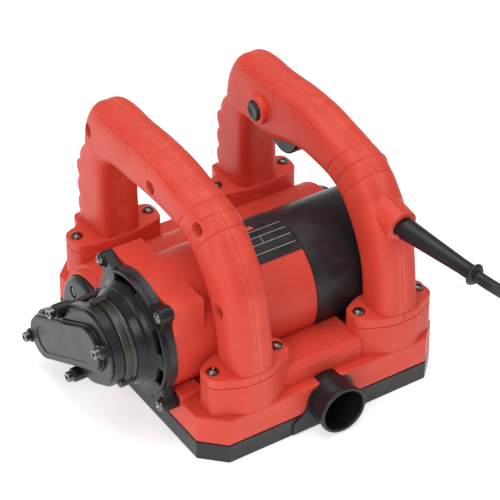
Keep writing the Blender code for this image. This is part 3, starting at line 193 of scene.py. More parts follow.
def isClosed(mesh):
    bm = bmesh.new()
    bm.from_mesh(mesh)
    result = all(len(edge.link_faces) == 2 for edge in bm.edges)
    bm.free()
    return result


def combine(piece, operation, *others):
    for other in others:
        before = piece.data
        for solver in ("EXACT", "MANIFOLD"):  # the second where the first leaves gaps
            piece.data = before
            step = piece.modifiers.new("b", "BOOLEAN")
            step.operation = operation
            step.solver = solver
            step.object = other
            bake(piece)
            if isClosed(piece.data):
                break
        bpy.data.objects.remove(other, do_unlink=True)
    return piece


def cut(piece, *others):
    return combine(piece, "DIFFERENCE", *others)


def join(piece, *others):
    return combine(piece, "UNION", *others)


def merge(piece, *others):
    bm = bmesh.new()
    bm.from_mesh(piece.data)
    for other in others:
        bm.from_mesh(other.data)
        bpy.data.objects.remove(other, do_unlink=True)
    bm.to_mesh(piece.data)
    bm.free()
    return piece


def soften(piece, width, segments=3, degrees=32):
    step = piece.modifiers.new("soft", "BEVEL")
    step.width = width
    step.segments = segments
    step.limit_method = "ANGLE"
    step.angle_limit = radians(degrees)
    step.miter_outer = "MITER_ARC"
    return bake(piece)


def finishPiece(piece, finish, *nodes, body="housing", slot=None, degrees=38):
    piece.data.shade_smooth()
    piece.data.set_sharp_from_angle(angle=radians(degrees))
    even = piece.modifiers.new("even", "WEIGHTED_NORMAL")
    even.keep_sharp = True
    bake(piece)
    piece.data.materials.clear()
    piece.data.materials.append(materials[finish])
    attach(piece, body)
    if nodes:
        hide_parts(*nodes)
    return piece


def box(name, low, high, turn=None):
    bm = bmesh.new()
    size = [b - a for a, b in zip(low, high)]
    middle = [(a + b) / 2 for a, b in zip(low, high)]
    place = Matrix.Translation(middle) @ Matrix.Diagonal((*size, 1.0))
    bmesh.ops.create_cube(bm, size=1.0, matrix=(turn or Matrix.Identity(4)) @ place)
    return addPiece(name, bm)


def rod(name, start, end, radius, segments=48, endRadius=None):
    start, end = Vector(start), Vector(end)
    axis = end - start
    turn = Vector((0, 0, 1)).rotation_difference(axis).to_matrix().to_4x4()
    bm = bmesh.new()
    bmesh.ops.create_cone(bm, cap_ends=True, segments=segments, radius1=radius,
                          radius2=radius if endRadius is None else endRadius, depth=axis.length,
                          matrix=Matrix.Translation((start + end) / 2) @ turn)
    return addPiece(name, bm)


def alongX(name, centre, low, high, radius, segments=64):
    return rod(name, (low, *centre), (high, *centre), radius, segments)


planes = {"XY": Matrix.Identity(4),
          "YZ": Matrix(((0, 0, 1, 0), (1, 0, 0, 0), (0, 1, 0, 0), (0, 0, 0, 1))),
          "XZ": Matrix(((1, 0, 0, 0), (0, 0, -1, 0), (0, 1, 0, 0), (0, 0, 0, 1)))}


def prism(name, outline, plane, low, high, draft=1.0):
    if plane == "XZ":
        low, high = -high, -low
    bm = bmesh.new()
    middle = Vector((sum(a for a, b in outline), sum(b for a, b in outline))) / len(outline)
    rings = []
    for level, grow in ((low, draft), (high, 1.0)):
        rings.append([bm.verts.new((middle.x + (a - middle.x) * grow,
                                    middle.y + (b - middle.y) * grow, level)) for a, b in outline])
    bm.faces.new(rings[0])
    bm.faces.new(rings[1])
    for i in range(len(outline)):
        j = (i + 1) % len(outline)
        bm.faces.new((rings[0][i], rings[0][j], rings[1][j], rings[1][i]))
    bmesh.ops.transform(bm, matrix=planes[plane], verts=bm.verts)
    return addPiece(name, bm)


def turned(name, profile, place, steps=96):
    bm = bmesh.new()
    points = [bm.verts.new((radius, 0.0, along)) for along, radius in profile]
    pairs = list(zip(points, points[1:]))
    if profile[0][1] > 0:  # a ring; else the profile starts and ends on the axis
        pairs.append((points[-1], points[0]))
    edges = [bm.edges.new(pair) for pair in pairs]
    bmesh.ops.spin(bm, geom=points + edges, cent=(0, 0, 0), axis=(0, 0, 1), steps=steps,
                   angle=2 * pi, use_merge=True)
    bmesh.ops.remove_doubles(bm, verts=bm.verts, dist=1e-6)
    bmesh.ops.dissolve_degenerate(bm, dist=1e-7, edges=bm.edges)
    bmesh.ops.transform(bm, matrix=place, verts=bm.verts)
    return addPiece(name, bm)


def onX(centre):
    return Matrix.Translation((0, *centre)) @ Matrix.Rotation(pi / 2, 4, "Y")


def onY(spot):
    return Matrix.Translation(spot) @ Matrix.Rotation(-pi / 2, 4, "X")


def rounded(profile, radius=0.0008, count=3):
    result = []  # every corner of a turned profile gets a small round
    for i, (x, r) in enumerate(profile):
        before, after = Vector(profile[i - 1]), Vector(profile[(i + 1) % len(profile)])
        here = Vector((x, r))
        a, b = before - here, after - here
        if r < 1e-6 or a.length < 1e-6 or b.length < 1e-6 or abs(a.angle(b) - pi) < 0.2:
            result.append((x, r))
            continue
        reach = min(radius, a.length * 0.45, b.length * 0.45)
        start, end = here + a.normalized() * reach, here + b.normalized() * reach
        for k in range(count + 1):
            t = k / count
            spot = start.lerp(here, t).lerp(here.lerp(end, t), t)
            result.append((spot.x, spot.y))
    return result


def stud(name, centre, low, high, radius, soft, steps, count=3):
    profile = rounded([(low, 0.0), (low, radius), (high, radius), (high, 0.0)], soft, count)
    return turned(name, profile, onX(centre), steps)


def arc(centre, radius, start, end, count):
    return [(centre[0] + radius * cos(start + (end - start) * i / count),
             centre[1] + radius * sin(start + (end - start) * i / count)) for i in range(count + 1)]


def stadium(first, second, radius, count=24):
    lean = atan2(second[1] - first[1], second[0] - first[0])
    quarter = pi / 2
    return (arc(first, radius, lean + quarter, lean + 3 * quarter, count)
            + arc(second, radius, lean - quarter, lean + quarter, count))


def oblong(name, ends, radius, count, low, high):
    return prism(name, stadium(*ends, radius, count), "YZ", low, high)


def arcPlate(name, centre, radii, degrees, count, low, high):
    start, end = (radians(angle) for angle in degrees)
    return prism(name, arc(centre, radii[1], start, end, count) + arc(centre, radii[0], end, start, count),
                 "YZ", low, high)


def onCircle(centre, radius, degrees):
    return (centre[0] + radius * cos(radians(degrees)),
            centre[1] + radius * sin(radians(degrees)))


def smoothPoints(points, steps):
    ends = [points[0], *points, points[-1]]
    result = []
    for a, b, c, d in zip(ends, ends[1:], ends[2:], ends[3:]):
        for i in range(steps + 1):
            t = i / (steps + 1)
            result.append(tuple(0.5 * (2 * q + (r - p) * t + (2 * p - 5 * q + 4 * r - s) * t * t
                                       + (3 * q - p - 3 * r + s) * t ** 3)
                                for p, q, r, s in zip(a, b, c, d)))
    result.append(tuple(points[-1]))
    return result


# ---- supply cable: guard, cable, coil and plug ----
cable = {"radius": 0.0049, "bossEnd": (0.071, -0.1184, 0.1554), "direction": (0.17, -0.98, -0.07),
         "guardLength": 0.078, "guardRoot": 0.009, "guardRadii": (0.00885, 0.0061),
         "guardLip": [(0.0, 0.0004), (0.0004, 0.0012), (0.0012, 0.0014), (0.0016, 0.0022), (0.0024, 0.0029),
                      (0.0036, 0.0029), (0.0044, 0.0022), (0.005, 0.0006), (0.007, 0.0001), (0.015, 0.0)],
         "coilCentre": (0.245, -0.165), "coilRadius": 0.055,
         "route": [(0.088, -0.214, 0.1485), (0.099, -0.233, 0.14), (0.11, -0.248, 0.125),
                   (0.119, -0.257, 0.103), (0.126, -0.262, 0.077), (0.135, -0.264, 0.051),
                   (0.149, -0.263, 0.028), (0.169, -0.259, 0.012), (0.193, -0.251, 0.0055),
                   (0.219, -0.243, 0.0052), (0.245, -0.2396, 0.0052)]}


def easeStep(value, low, high):
    t = min(max((value - low) / (high - low), 0.0), 1.0)
    return t * t * (3 - 2 * t)


def coilPath():
    turn = 2 * cable["radius"] + 0.0001
    cx, cy = cable["coilCentre"]
    outer = cable["coilRadius"] + turn
    points = []
    for degrees in range(12, 1781, 8):
        radius = outer + turn * (1 - easeStep(degrees, 0, 60))
        radius -= turn * (easeStep(degrees, 300, 360) + easeStep(degrees, 660, 720))
        radius += turn * (easeStep(degrees, 1260, 1320) + easeStep(degrees, 1620, 1680))
        level = 0.0052 + turn * easeStep(degrees, 955, 1025)
        angle = radians(degrees - 90)
        points.append((cx + radius * cos(angle), cy + radius * sin(angle), level))
    for degrees, lift in ((1792, 0.001), (1804, 0.0042), (1816, 0.008), (1828, 0.0113)):
        angle = radians(degrees - 90)
        points.append((cx + outer * cos(angle), cy + outer * sin(angle),
                       0.0052 + turn + lift))
    points += [(cx + 0.05, cy - 0.036, 0.0289), (cx + 0.0537, cy - 0.024, 0.0316),
               (cx + 0.055, cy - 0.012, 0.0328), (cx + 0.055, cy - 0.0045, 0.0329)]
    return points


way = Vector(cable["direction"]).normalized()
root = Vector(cable["bossEnd"])
tip = root + way * cable["guardLength"]
started = [tuple(tip + way * gap), tuple(tip + way * 0.01), *cable["route"]]
path = smoothPoints(started, 3) + coilPath()
curve = bpy.data.curves.new("supplyCable", "CURVE")
curve.dimensions = "3D"
curve.bevel_depth = cable["radius"]
curve.bevel_resolution = 5
curve.use_fill_caps = True
line = curve.splines.new("POLY")
line.points.add(len(path) - 1)
for point, spot in zip(line.points, path):
    point.co = (*spot, 1.0)
line.use_smooth = True
supplyCable = addObject("supplyCable", curve)
curve.materials.append(materials["black_rubber"])
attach(supplyCable, "housing")
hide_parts("supply_cable", "cable_coil")


def makeGuard():
    wide, thin = cable["guardRadii"]
    length = cable["guardLength"]
    profile = [(length, 0.0)] + [(length - back, thin + rise) for back, rise in cable["guardLip"]]
    for step in range(9, -1, -1):  # the sleeve swells towards its root
        share = step / 10
        profile.append((0.006 + share * (length - 0.021), wide + (thin - wide) * share ** 0.85))
    profile += [(0.0044, wide + 0.0001), (0.0034, wide - 0.0003), (0.0028, wide - 0.001),
                (-cable["guardRoot"], wide - 0.001), (-cable["guardRoot"], 0.0)]
    place = Matrix.Translation(root) @ Vector((0, 0, 1)).rotation_difference(way).to_matrix().to_4x4()
    guard = turned("cableGuard", profile, place, 64)
    finishPiece(guard, "black_rubber", "cable_guard", degrees=50)
    return guard


def makePlug():
    cx, cy = cable["coilCentre"]
    x, y, low = cx + cable["coilRadius"], cy + 0.012, 4 * cable["radius"] + gap
    middle = low + 0.013
    body = box("mainsPlug", (x - 0.0175, y, low), (x + 0.0175, y + 0.048, low + 0.026))
    soften(body, 0.0075, 6)
    for level in range(5):  # finger ridges across the top face
        at = y + 0.01 + level * 0.0055
        cut(body, box("ridge", (x - 0.02, at, low + 0.0254), (x + 0.02, at + 0.0018, low + 0.03)))
    tail = turned("plugTail", [(0.02, 0.0), (0.02, 0.0098), (0.014, 0.0094), (0.0125, 0.0078),
                               (0.011, 0.0088), (0.0085, 0.0084), (0.007, 0.0068), (0.0055, 0.0078),
                               (0.003, 0.0074), (0.0015, 0.0062), (0.0, 0.006), (0.0, 0.0)],
                  onY((x, y - 0.016, middle)), 40)
    merge(body, tail)
    finishPiece(body, "black_rubber", "mains_plug")
    pins = []
    for side in (-1, 1):
        at = x + side * 0.0095
        pin = turned("plugPin", [(0.0228, 0.0), (0.0226, 0.0014), (0.0215, 0.0022), (0.02, 0.0024),
                                 (0.0, 0.0024), (0.0, 0.0)],
                     onY((at, y + 0.044, middle)), 24)
        pins.append(pin)
    merge(pins[0], pins[1])
    pins[0].name = "plugPins"
    finishPiece(pins[0], "bright_steel")
    return body, pins[0]


guard = makeGuard()
plug, plugPins = makePlug()
print("plug and guard made")

# ---- shared places ----
motor = {"axis": (-0.0365, 0.082), "radius": 0.051, "left": -0.115, "split": 0.015, "right": 0.112,
         "wall": 0.0032, "earCircle": 0.061, "screwBore": 0.0027, "vents": 5, "ventPitch": 0.013}
drum = {"axis": (0.045, 0.0385), "chamber": 0.0386, "bulge": 0.0445, "cap": 0.038, "spigot": 0.03,
        "screwCircle": 0.0255, "screwAngles": (52, 172)}
motorAt, drumAt = motor["axis"], drum["axis"]
base = {"length": 0.225, "depth": 0.256, "corner": 0.0183, "sole": 0.017, "deck": 0.0413}
port = {"radius": 0.02, "height": 0.023, "mouth": -0.148, "inner": -0.104}
side, front = base["length"] / 2, base["depth"] / 2
handleX = (-0.0657, 0.071)
feet = {"front": [(0.0, -0.1275), (0.012, -0.1265), (0.024, -0.1215), (0.035, -0.115), (0.036, -0.106),
                  (0.035, -0.097), (0.02, -0.089), (0.012, -0.0882), (0.0, -0.088)],
        "rear": [(0.0, 0.076), (0.01, 0.077), (0.021, 0.079), (0.032, 0.0815), (0.04, 0.087),
                 (0.0415, 0.102), (0.037, 0.108), (0.025, 0.113), (0.02, 0.127), (0.0, 0.1275)]}
footTop = {"front": 0.076, "rear": 0.083}
footThick = 0.008
footScrews = {"front": (0.0292, -0.1058), "rear": (0.0343, 0.0972)}  # reach from the handle, and Y


def earSpot(degrees):
    return onCircle(motorAt, motor["earCircle"], degrees)


def plan(inset=0.0):
    x, y = side - inset, front - inset
    c = base["corner"] - (2 - sqrt(2)) * inset
    return [(x, y - c), (x - c, y), (c - x, y), (c - x - c, y - c), (-x, c - y), (c - x, -y),
            (x - c, -y), (x, c - y)]


def footOutline(half, centre, fine=2):
    curveHalf = smoothPoints(half, fine)
    right = [(centre + x, y) for x, y in curveHalf]
    left = [(centre - x, y) for x, y in reversed(curveHalf[1:-1])]
    return right + left


# ---- base, sole and dust port ----
def makeBase():
    floor, lift = base["sole"] + gap, base["deck"] - 0.004
    body = soften(prism("baseHousing", plan(), "XY", floor, base["deck"], 1.004), 0.0016, 3)
    plateau = [(-0.1186, lift - 0.01), (-0.0365, lift - 0.01), (-0.0365, 0.0595), (-0.1144, 0.0595),
               (-0.1186, 0.0553)]
    parts = [soften(prism("plateau", plateau, "YZ", -0.036, 0.037), 0.0009, 2)]
    for centre in handleX:
        for end, half in feet.items():
            top = footTop[end] - footThick - gap
            parts.append(soften(prism("pedestal", footOutline(half, centre), "XY", lift - 0.01, top, 1.018),
                                0.0011, 2, 50))
    rim = turned("rim", rounded([(-side + 0.004, 0.0415), (-side - 0.0065, 0.0415), (-side - 0.0065, 0.0383),
                                 (-side + 0.004, 0.0383)], 0.0007), onX(drumAt), 96)
    bulge = stud("bulge", drumAt, side - 0.0002, 0.0002 - side, drum["bulge"], 0.002, 112, 4)
    ear = earSpot(225)
    boss = soften(box("boss", (-side - 0.0001, ear[0] - 0.009, ear[1] - 0.01),
                      (-side + 0.02, ear[0] + 0.009, ear[1] + 0.0085)), 0.001, 2)
    join(body, *parts, bulge, boss)
    cut(body, alongX("chamber", drumAt, 0.0035 - side, side - 0.0035, drum["chamber"], 96),
        alongX("holes", drumAt, -0.2, 0.2, drum["spigot"] + gap),
        alongX("cradle", motorAt, -0.2, 0.2, motor["radius"] + gap, 128),
        rod("portHole", (0, -0.2, port["height"]), (0, port["inner"], port["height"]), port["radius"] + 0.0006, 96),
        alongX("earHole", ear, -0.2, -side + 0.016, motor["screwBore"], 24),
        box("under", (-0.118, -0.14, -0.02), (0.118, 0.14, floor)))
    cut(rim, alongX("flangeRoom", motorAt, -0.2, -side, 0.0528, 96),
        box("underRim", (-0.2, -0.2, -0.05), (0.2, 0.2, floor)))
    for end, (reach, y) in footScrews.items():
        for centre in handleX:
            for x in (centre - reach, centre + reach):
                cut(body, rod("pilot", (x, y, footTop[end] - 0.02), (x, y, footTop[end]), motor["screwBore"], 20))
    merge(body, rim)
    return finishPiece(body, "red_plastic", "base_housing")


def makeSole():
    body = soften(prism("solePlate", plan(-0.0006), "XY", 0.0, base["sole"]), 0.001, 2)
    cut(body, box("window", (-0.102, 0.021, -0.01), (0.102, 0.069, 0.05)),
        soften(prism("hollow", plan(0.0044), "XY", 0.005, 0.03), 0.0005, 1),
        rod("soleHole", (0, -0.2, port["height"]), (0, port["inner"], port["height"]), port["radius"] + gap, 96),
        alongX("capRoom", drumAt, -0.14, 0.14, drum["spigot"] + gap, 64))
    return finishPiece(body, "black_plastic", "sole_plate")


def makePort():
    r, mouth, inner = port["radius"], port["mouth"], port["inner"]
    profile = [(inner, r), (-0.131, r), (mouth + 0.0052, r - 0.0002), (mouth + 0.0046, r + 0.0009),
               (mouth + 0.0016, r + 0.0012), (mouth, r + 0.0004), (mouth, r - 0.0013),
               (mouth + 0.001, r - 0.002), (mouth + 0.01, r - 0.0024), (-0.125, r - 0.0036),
               (inner, r - 0.0036)]
    tube = turned("dustPort", rounded(profile, 0.0004, 2), onY((0, 0, port["height"])), 112)
    wing = [(-0.036, 0.0012)]
    wing += [(-0.036, 0.01), (-0.0335, 0.0135), (-0.0295, 0.016), (-0.0255, 0.0192), (-0.0232, 0.0228)]
    rise = arc((0, port["height"]), 0.0226, radians(176), radians(4), 28)
    outline = wing + rise + [(-x, z) for x, z in reversed(wing)]
    collar = soften(prism("portCollar", outline, "XZ", -front - 0.002, -front + 0.0012), 0.0006, 2)
    cut(collar, rod("collarHole", (0, -0.2, port["height"]), (0, 0, port["height"]), r - 0.0012, 96),
        box("collarTop", (-0.1, -0.2, base["deck"] - 0.0026), (0.1, 0, 0.1)))
    merge(tube, collar)
    finishPiece(tube, "black_plastic", "dust_port")


makeBase()
makeSole()
makePort()
print("base made")


# ---- motor ----
def makeMotor():
    r, bore = motor["radius"], motor["radius"] - motor["wall"]
    left, split, right = motor["left"], motor["split"], motor["right"]
    body = turned("motorHousing", rounded([(split, r), (left, r), (left, bore), (split, bore)], 0.0009),
                  onX(motorAt), 144)
    y, z = motorAt
    shoulder = box("shoulder", (left + 0.0001, y - 0.0474, z + 0.005), (left + 0.0275, y + 0.0474, z + 0.0475))
    soften(shoulder, 0.0011, 3)
    cut(shoulder, alongX("shoulderRoom", motorAt, -0.2, 0, bore + 0.0015, 96))
    join(body, shoulder)
    for degrees in (45, 135):
        spot = earSpot(degrees)
        cut(body, alongX("earHole", spot, -0.2, left + 0.012, motor["screwBore"], 24))
    finishPiece(body, "red_plastic", "motor_housing")
    profile = [(right, 0.0)] + [(right - back, r - drop) for back, drop in (
        (0.0, 0.009), (0.0006, 0.006), (0.0022, 0.003), (0.0048, 0.0008), (0.008, 0.0), (0.02, 0.0),
        (0.0205, 0.0005), (0.0215, 0.0005), (0.022, 0.0))]
    profile += [(split + 0.0008, r), (split + gap, r - 0.0006), (split + gap, bore), (right - 0.006, bore),
                (right - motor["wall"], bore - 0.004), (right - motor["wall"], 0.0)]
    tail = turned("motorTailCover", profile, onX(motorAt), 144)
    for row in range(motor["vents"]):
        offset = (row - motor["vents"] // 2) * motor["ventPitch"]
        reach = sqrt((r - 0.012) ** 2 - offset ** 2)
        ends = [(y - reach, z + offset), (y + reach, z + offset)]
        cut(tail, oblong("vent", ends, 0.002, 6, right - 0.008, right + 0.01))
    finishPiece(tail, "black_plastic", "motor_tail_cover")


plate = {"ends": (-0.034, 0.0147), "degrees": (54, 124), "thick": 0.0005, "ruleEnds": (-0.031, 0.0125),
         "rules": (89.0, 97.5, 106.0, 115.0), "ruleWidth": 0.38, "crossRule": ((-0.012, -0.0117), (98.6, 104.9)),
         "patch": ((-0.034, -0.01), (80.5, 86.0))}


def makePlate():
    inner = motor["radius"] + gap
    raised = (inner + 0.0004, inner + 0.0006)

    def band(name, ends, degrees, radii=raised):
        return arcPlate(name, motorAt, radii, degrees, 24, *ends)

    sheet = band("ratingPlate", plate["ends"], plate["degrees"], (inner, inner + plate["thick"]))
    finishPiece(sheet, "label_film", "rating_plate")
    lines = [band("plateRules", plate["ruleEnds"], (at, at + plate["ruleWidth"])) for at in plate["rules"]]
    lines.append(band("rule", *plate["crossRule"]))
    merge(*lines)
    finishPiece(band("platePatch", *plate["patch"]), "red_plastic", slot="label_film")
    finishPiece(lines[0], "label_print", slot="label_film")


makeMotor()
makePlate()
print("motor made")

# ---- gear end ----
gear = {"flange": 0.0525, "flangeFront": -0.126, "ears": (45, 135, 225), "pad": 0.0064, "wall": 0.0035,
        "vents": ((61.3, 103.6), (144.2, 169.1), (187.3, 210.6), (301.2, 328.9), (351.3, 376.2)),
        "ventRadii": (0.0435, 0.0495), "dome": 0.041, "domeFront": -0.14, "ring": 0.034,
        "ringFront": -0.15, "case": 0.022, "head": 0.033, "headAlong": 0.02, "headRise": 0.003,
        "front": -0.157, "eyes": (("topEye", 69), ("lowEye", 219)), "eye": 0.0052, "eyeCircle": 0.032,
        "neck": 0.0185, "cover": 0.0195, "coverFront": -0.165, "hollow": 0.017, "panel": 0.0122,
        "panelInset": 0.007, "lug": 0.006, "along": 0.069, "across": 0.0266}
beltEnds = (motorAt, drumAt)
along = (Vector(drumAt) - Vector(motorAt)).normalized()
across = Vector((-along.y, along.x))
middle = (Vector(drumAt) + Vector(motorAt)) / 2
lugs = {"rear": middle + along * gear["along"], "upper": middle + across * gear["across"],
        "front": middle - along * gear["along"], "lower": middle - across * gear["across"]}
capOuter = -(side + gap + 0.0122)


def makeFlange():
    rear, face, wall = motor["left"] - gap, gear["flangeFront"], gear["wall"]
    flange, dome, ring, tip = (gear[key] for key in ("flange", "dome", "ring", "domeFront"))
    profile = [(rear, flange), (face + 0.0042, flange), (face + 0.004, flange - 0.0007),
               (face + 0.0004, flange - 0.0012), (face - 0.0002, flange - 0.003), (face, dome + 0.0055),
               (face - 0.0012, dome + 0.003), (face - 0.005, dome), (face - 0.0075, dome - 0.0005),
               (face - 0.0078, dome - 0.0016), (tip + 0.001, ring + 0.0025), (tip, ring + 0.0012),
               (tip, ring - 0.004), (tip + wall, ring - 0.004), (face - 0.004, dome - wall),
               (face + 0.003, 0.0458), (rear, 0.0458)]
    body = turned("endFlange", profile, onX(motorAt), 144)
    for degrees in gear["vents"]:
        cut(body, arcPlate("vent", motorAt, gear["ventRadii"], degrees, 10, -0.15, face + 0.009))
    foot = flange - 0.0012
    wide = sqrt(foot ** 2 - 0.046 ** 2) * 0.62
    half = [(wide, 0.046), (0.0069, 0.0585), (0.0066, 0.0625), (0.0035, 0.0668)]
    outline = [(-wide, 0.046)] + half + [(-y, z) for y, z in reversed(half[1:])]
    for degrees in gear["ears"]:
        spot = earSpot(degrees)
        reach = -side - gap if degrees == 225 else rear
        pad = stud("pad", spot, reach, face - 0.0002, gear["pad"], 0.0008, 40)
        web = prism("web", outline, "YZ", face + 0.0012, rear - 0.0002)
        web.data.transform(Matrix.Translation((0, *motorAt))
                           @ Matrix.Rotation(radians(degrees - 90), 4, "X"))
        join(body, soften(web, 0.0008, 2), pad)
        cut(body, alongX("bore", spot, -0.2, 0, motor["screwBore"], 24))
    join(body, stud("columnPad", lugs["upper"], rear - 0.0004, face + 0.0004, gear["lug"], 0.0006, 40))
    finishPiece(body, "gear_housing_plastic", "end_flange")


def makeRing():
    dome, front = gear["domeFront"], gear["ringFront"]
    profile = [(dome - gap, 0.0345), (dome - 0.0022, 0.0345), (dome - 0.0026, 0.0336), (dome - 0.0042, 0.0336),
               (dome - 0.0046, 0.0345), (front + 0.001, 0.0345), (front, 0.0335), (front, 0.0163),
               (dome + 0.001, 0.0163), (dome + 0.001, 0.0097), (dome + 0.003, 0.0097), (dome + 0.003, 0.0302),
               (dome - gap, 0.0302)]
    ring = turned("bearingRing", rounded(profile, 0.0003, 2), onX(motorAt), 112)
    finishPiece(ring, "cast_aluminium", "bearing_ring")


def makeCase():
    backFace, face = gear["ringFront"] - gap, gear["front"]
    body = soften(oblong("gearCase", beltEnds, gear["case"], 32, face, backFace - 0.0002), 0.001, 3)
    headEnds = (motorAt, Vector(motorAt) + along * gear["headAlong"])
    headFace = face - gear["headRise"]
    head = soften(oblong("head", headEnds, gear["head"], 36, headFace + 0.002, backFace), 0.0006, 2)
    join(head, soften(oblong("headStep", headEnds, gear["head"] - 0.003, 36, headFace, backFace - 0.001),
                      0.0014, 4))
    for name, degrees in gear["eyes"]:
        spot = onCircle(motorAt, gear["eyeCircle"], degrees)
        eye = stud(name, spot, gear["domeFront"] - gap, face + 0.0045, gear["eye"], 0.0006, 32)
        cut(eye, alongX("eyeRoom", motorAt, backFace, 0, gear["ring"] + gap, 96))
        join(head, eye)
    neck = gear["neck"]
    profile = [(capOuter - gap, 0.0), (capOuter - gap, neck), (-0.1345, neck), (-0.135, neck + 0.0012),
               (-0.143, neck + 0.0014), (-0.1435, neck + 0.003), (face + 0.002, neck + 0.003), (face + 0.002, 0.0)]
    join(body, head, turned("neck", rounded(profile, 0.0004, 2), onX(drumAt), 80))
    for spot in lugs.values():
        join(body, stud("lug", spot, backFace - 0.0004, gear["coverFront"], gear["lug"], 0.0007, 36))
        cut(body, alongX("bore", spot, -0.2, backFace - 0.002, motor["screwBore"], 24))
    join(body, alongX("column", lugs["upper"], backFace - 0.002, gear["flangeFront"] - gap, 0.004, 32))
    cut(body, oblong("coverRoom", beltEnds, gear["cover"] + 0.0004, 32, -0.2, face - 0.0001),
        oblong("pocket", beltEnds, gear["hollow"], 24, -0.2, backFace - 0.0024),
        alongX("shaftHole", motorAt, -0.2, 0, 0.0097, 40),
        alongX("drumHole", drumAt, -0.2, 0, 0.008, 40),
        alongX("seat", drumAt, capOuter - gap - 0.0086, 0, 0.0143, 48))
    finishPiece(body, "gear_housing_plastic", "gear_case")


def makeCover():
    back, face = gear["front"] - gap, gear["coverFront"]
    lower = soften(oblong("gearCover", beltEnds, gear["cover"], 36, face + 0.0032, back), 0.0007, 2)
    join(lower, soften(oblong("coverStep", beltEnds, gear["cover"] - 0.0016, 36, face, back - 0.001), 0.0012, 4))
    inset = along * gear["panelInset"]
    panelEnds = (Vector(motorAt) + inset, Vector(drumAt) - inset)
    cut(lower, oblong("hollow", beltEnds, gear["hollow"], 24, face + 0.0025, 0),
        soften(oblong("panel", panelEnds, gear["panel"], 30, -0.2, face + 0.0006), 0.0002, 1))
    finishPiece(lower, "gear_housing_plastic", "gear_cover")


makeFlange()
makeRing()
makeCase()
makeCover()
print("gear end made")

# ---- screws ----
screwLook = {"head": 0.005, "rise": 0.003, "shank": 0.0024, "length": 0.018, "cross": 0.0012}


def phillipsMesh():
    head, rise = screwLook["head"], screwLook["rise"]
    dome = [(rise * cos(a), head * sin(a) ** 0.92) for a in [i * pi / 20 for i in range(10)]]
    profile = dome + [(0.0006, head), (0.0, head - 0.0002), (0.0, screwLook["shank"]),
                      (-screwLook["length"], screwLook["shank"]), (-screwLook["length"], 0.0)]
    screw = turned("screw", profile, Matrix.Identity(4), 40)
    for turn in (0, pi / 2):
        wedge = [(-0.0029, rise + 0.001), (0.0029, rise + 0.001), (0.001, rise - 0.0021), (-0.001, rise - 0.0021)]
        bar = prism("cross", wedge, "XZ", -screwLook["cross"] / 2, screwLook["cross"] / 2)
        bar.data.transform(Matrix.Rotation(turn, 4, "Z"))
        cut(screw, bar)
    mesh = screw.data
    bpy.data.objects.remove(screw, do_unlink=True)
    return mesh


def placeScrew(name, place, *node):
    piece = addObject(name, phillips.copy())
    piece.data.transform(place)
    return finishPiece(piece, "dark_screws", *node, degrees=30)


phillips = phillipsMesh()
for label, centre, sign in (("left", handleX[0], 1), ("right", handleX[1], -1)):
    for end, (reach, y) in footScrews.items():
        for name, sense in (("inner", sign), ("outer", -sign)):
            spin = Matrix.Rotation(0.6 + 26 * y + 900 * reach * centre, 4, "Z")  # no two crosses alike
            spot = Matrix.Translation((centre + sense * reach, y, footTop[end] + gap))
            placeScrew(f"{label}{end.title()}{name.title()}Screw", spot @ spin,
                       f"{label}_{end}_{name}_screw")
headLeft = Matrix.Rotation(-pi / 2, 4, "Y")
for index, degrees in enumerate(gear["ears"], 1):
    spot = earSpot(degrees)
    place = Matrix.Translation((gear["flangeFront"] - 0.0005, *spot)) @ headLeft
    placeScrew(f"flangeScrew{index}", place @ Matrix.Rotation(index * 0.8, 4, "Z"),
               f"flange_screw_{index}")


socket = {"tip": -0.1543, "shank": 0.0024, "head": 0.00425, "height": 0.005, "hex": 0.0023,
          "flutes": 20, "fluteCircle": 0.00438, "flute": 0.00028}


def makeSocketScrews():
    face, head = gear["coverFront"] - gap, socket["head"]
    top = face - socket["height"]
    profile = [(socket["tip"], 0.0), (socket["tip"], socket["shank"]), (face, socket["shank"]),
               (face, head - 0.00025), (face - 0.0003, head), (top + 0.0007, head), (top + 0.0002, head - 0.00025),
               (top, head - 0.00075), (top, 0.0)]
    for name, spot in lugs.items():
        screw = turned("coverScrew", profile, onX(spot), 60)
        cut(screw, alongX("hex", spot, top - 0.001, face - 0.0024, socket["hex"], 6))
        flutes = []  # straight knurl on the head
        for index in range(socket["flutes"]):
            away = onCircle(spot, socket["fluteCircle"], index * 360 / socket["flutes"])
            flutes.append(alongX("flute", away, face - 0.0041, face - 0.0004, socket["flute"], 6))
        cut(screw, merge(*flutes))
        screw.name = f"cover{name.title()}Screw"
        finishPiece(screw, "dark_screws", f"cover_{name}_screw", degrees=30)


makeSocketScrews()
print("screws made")


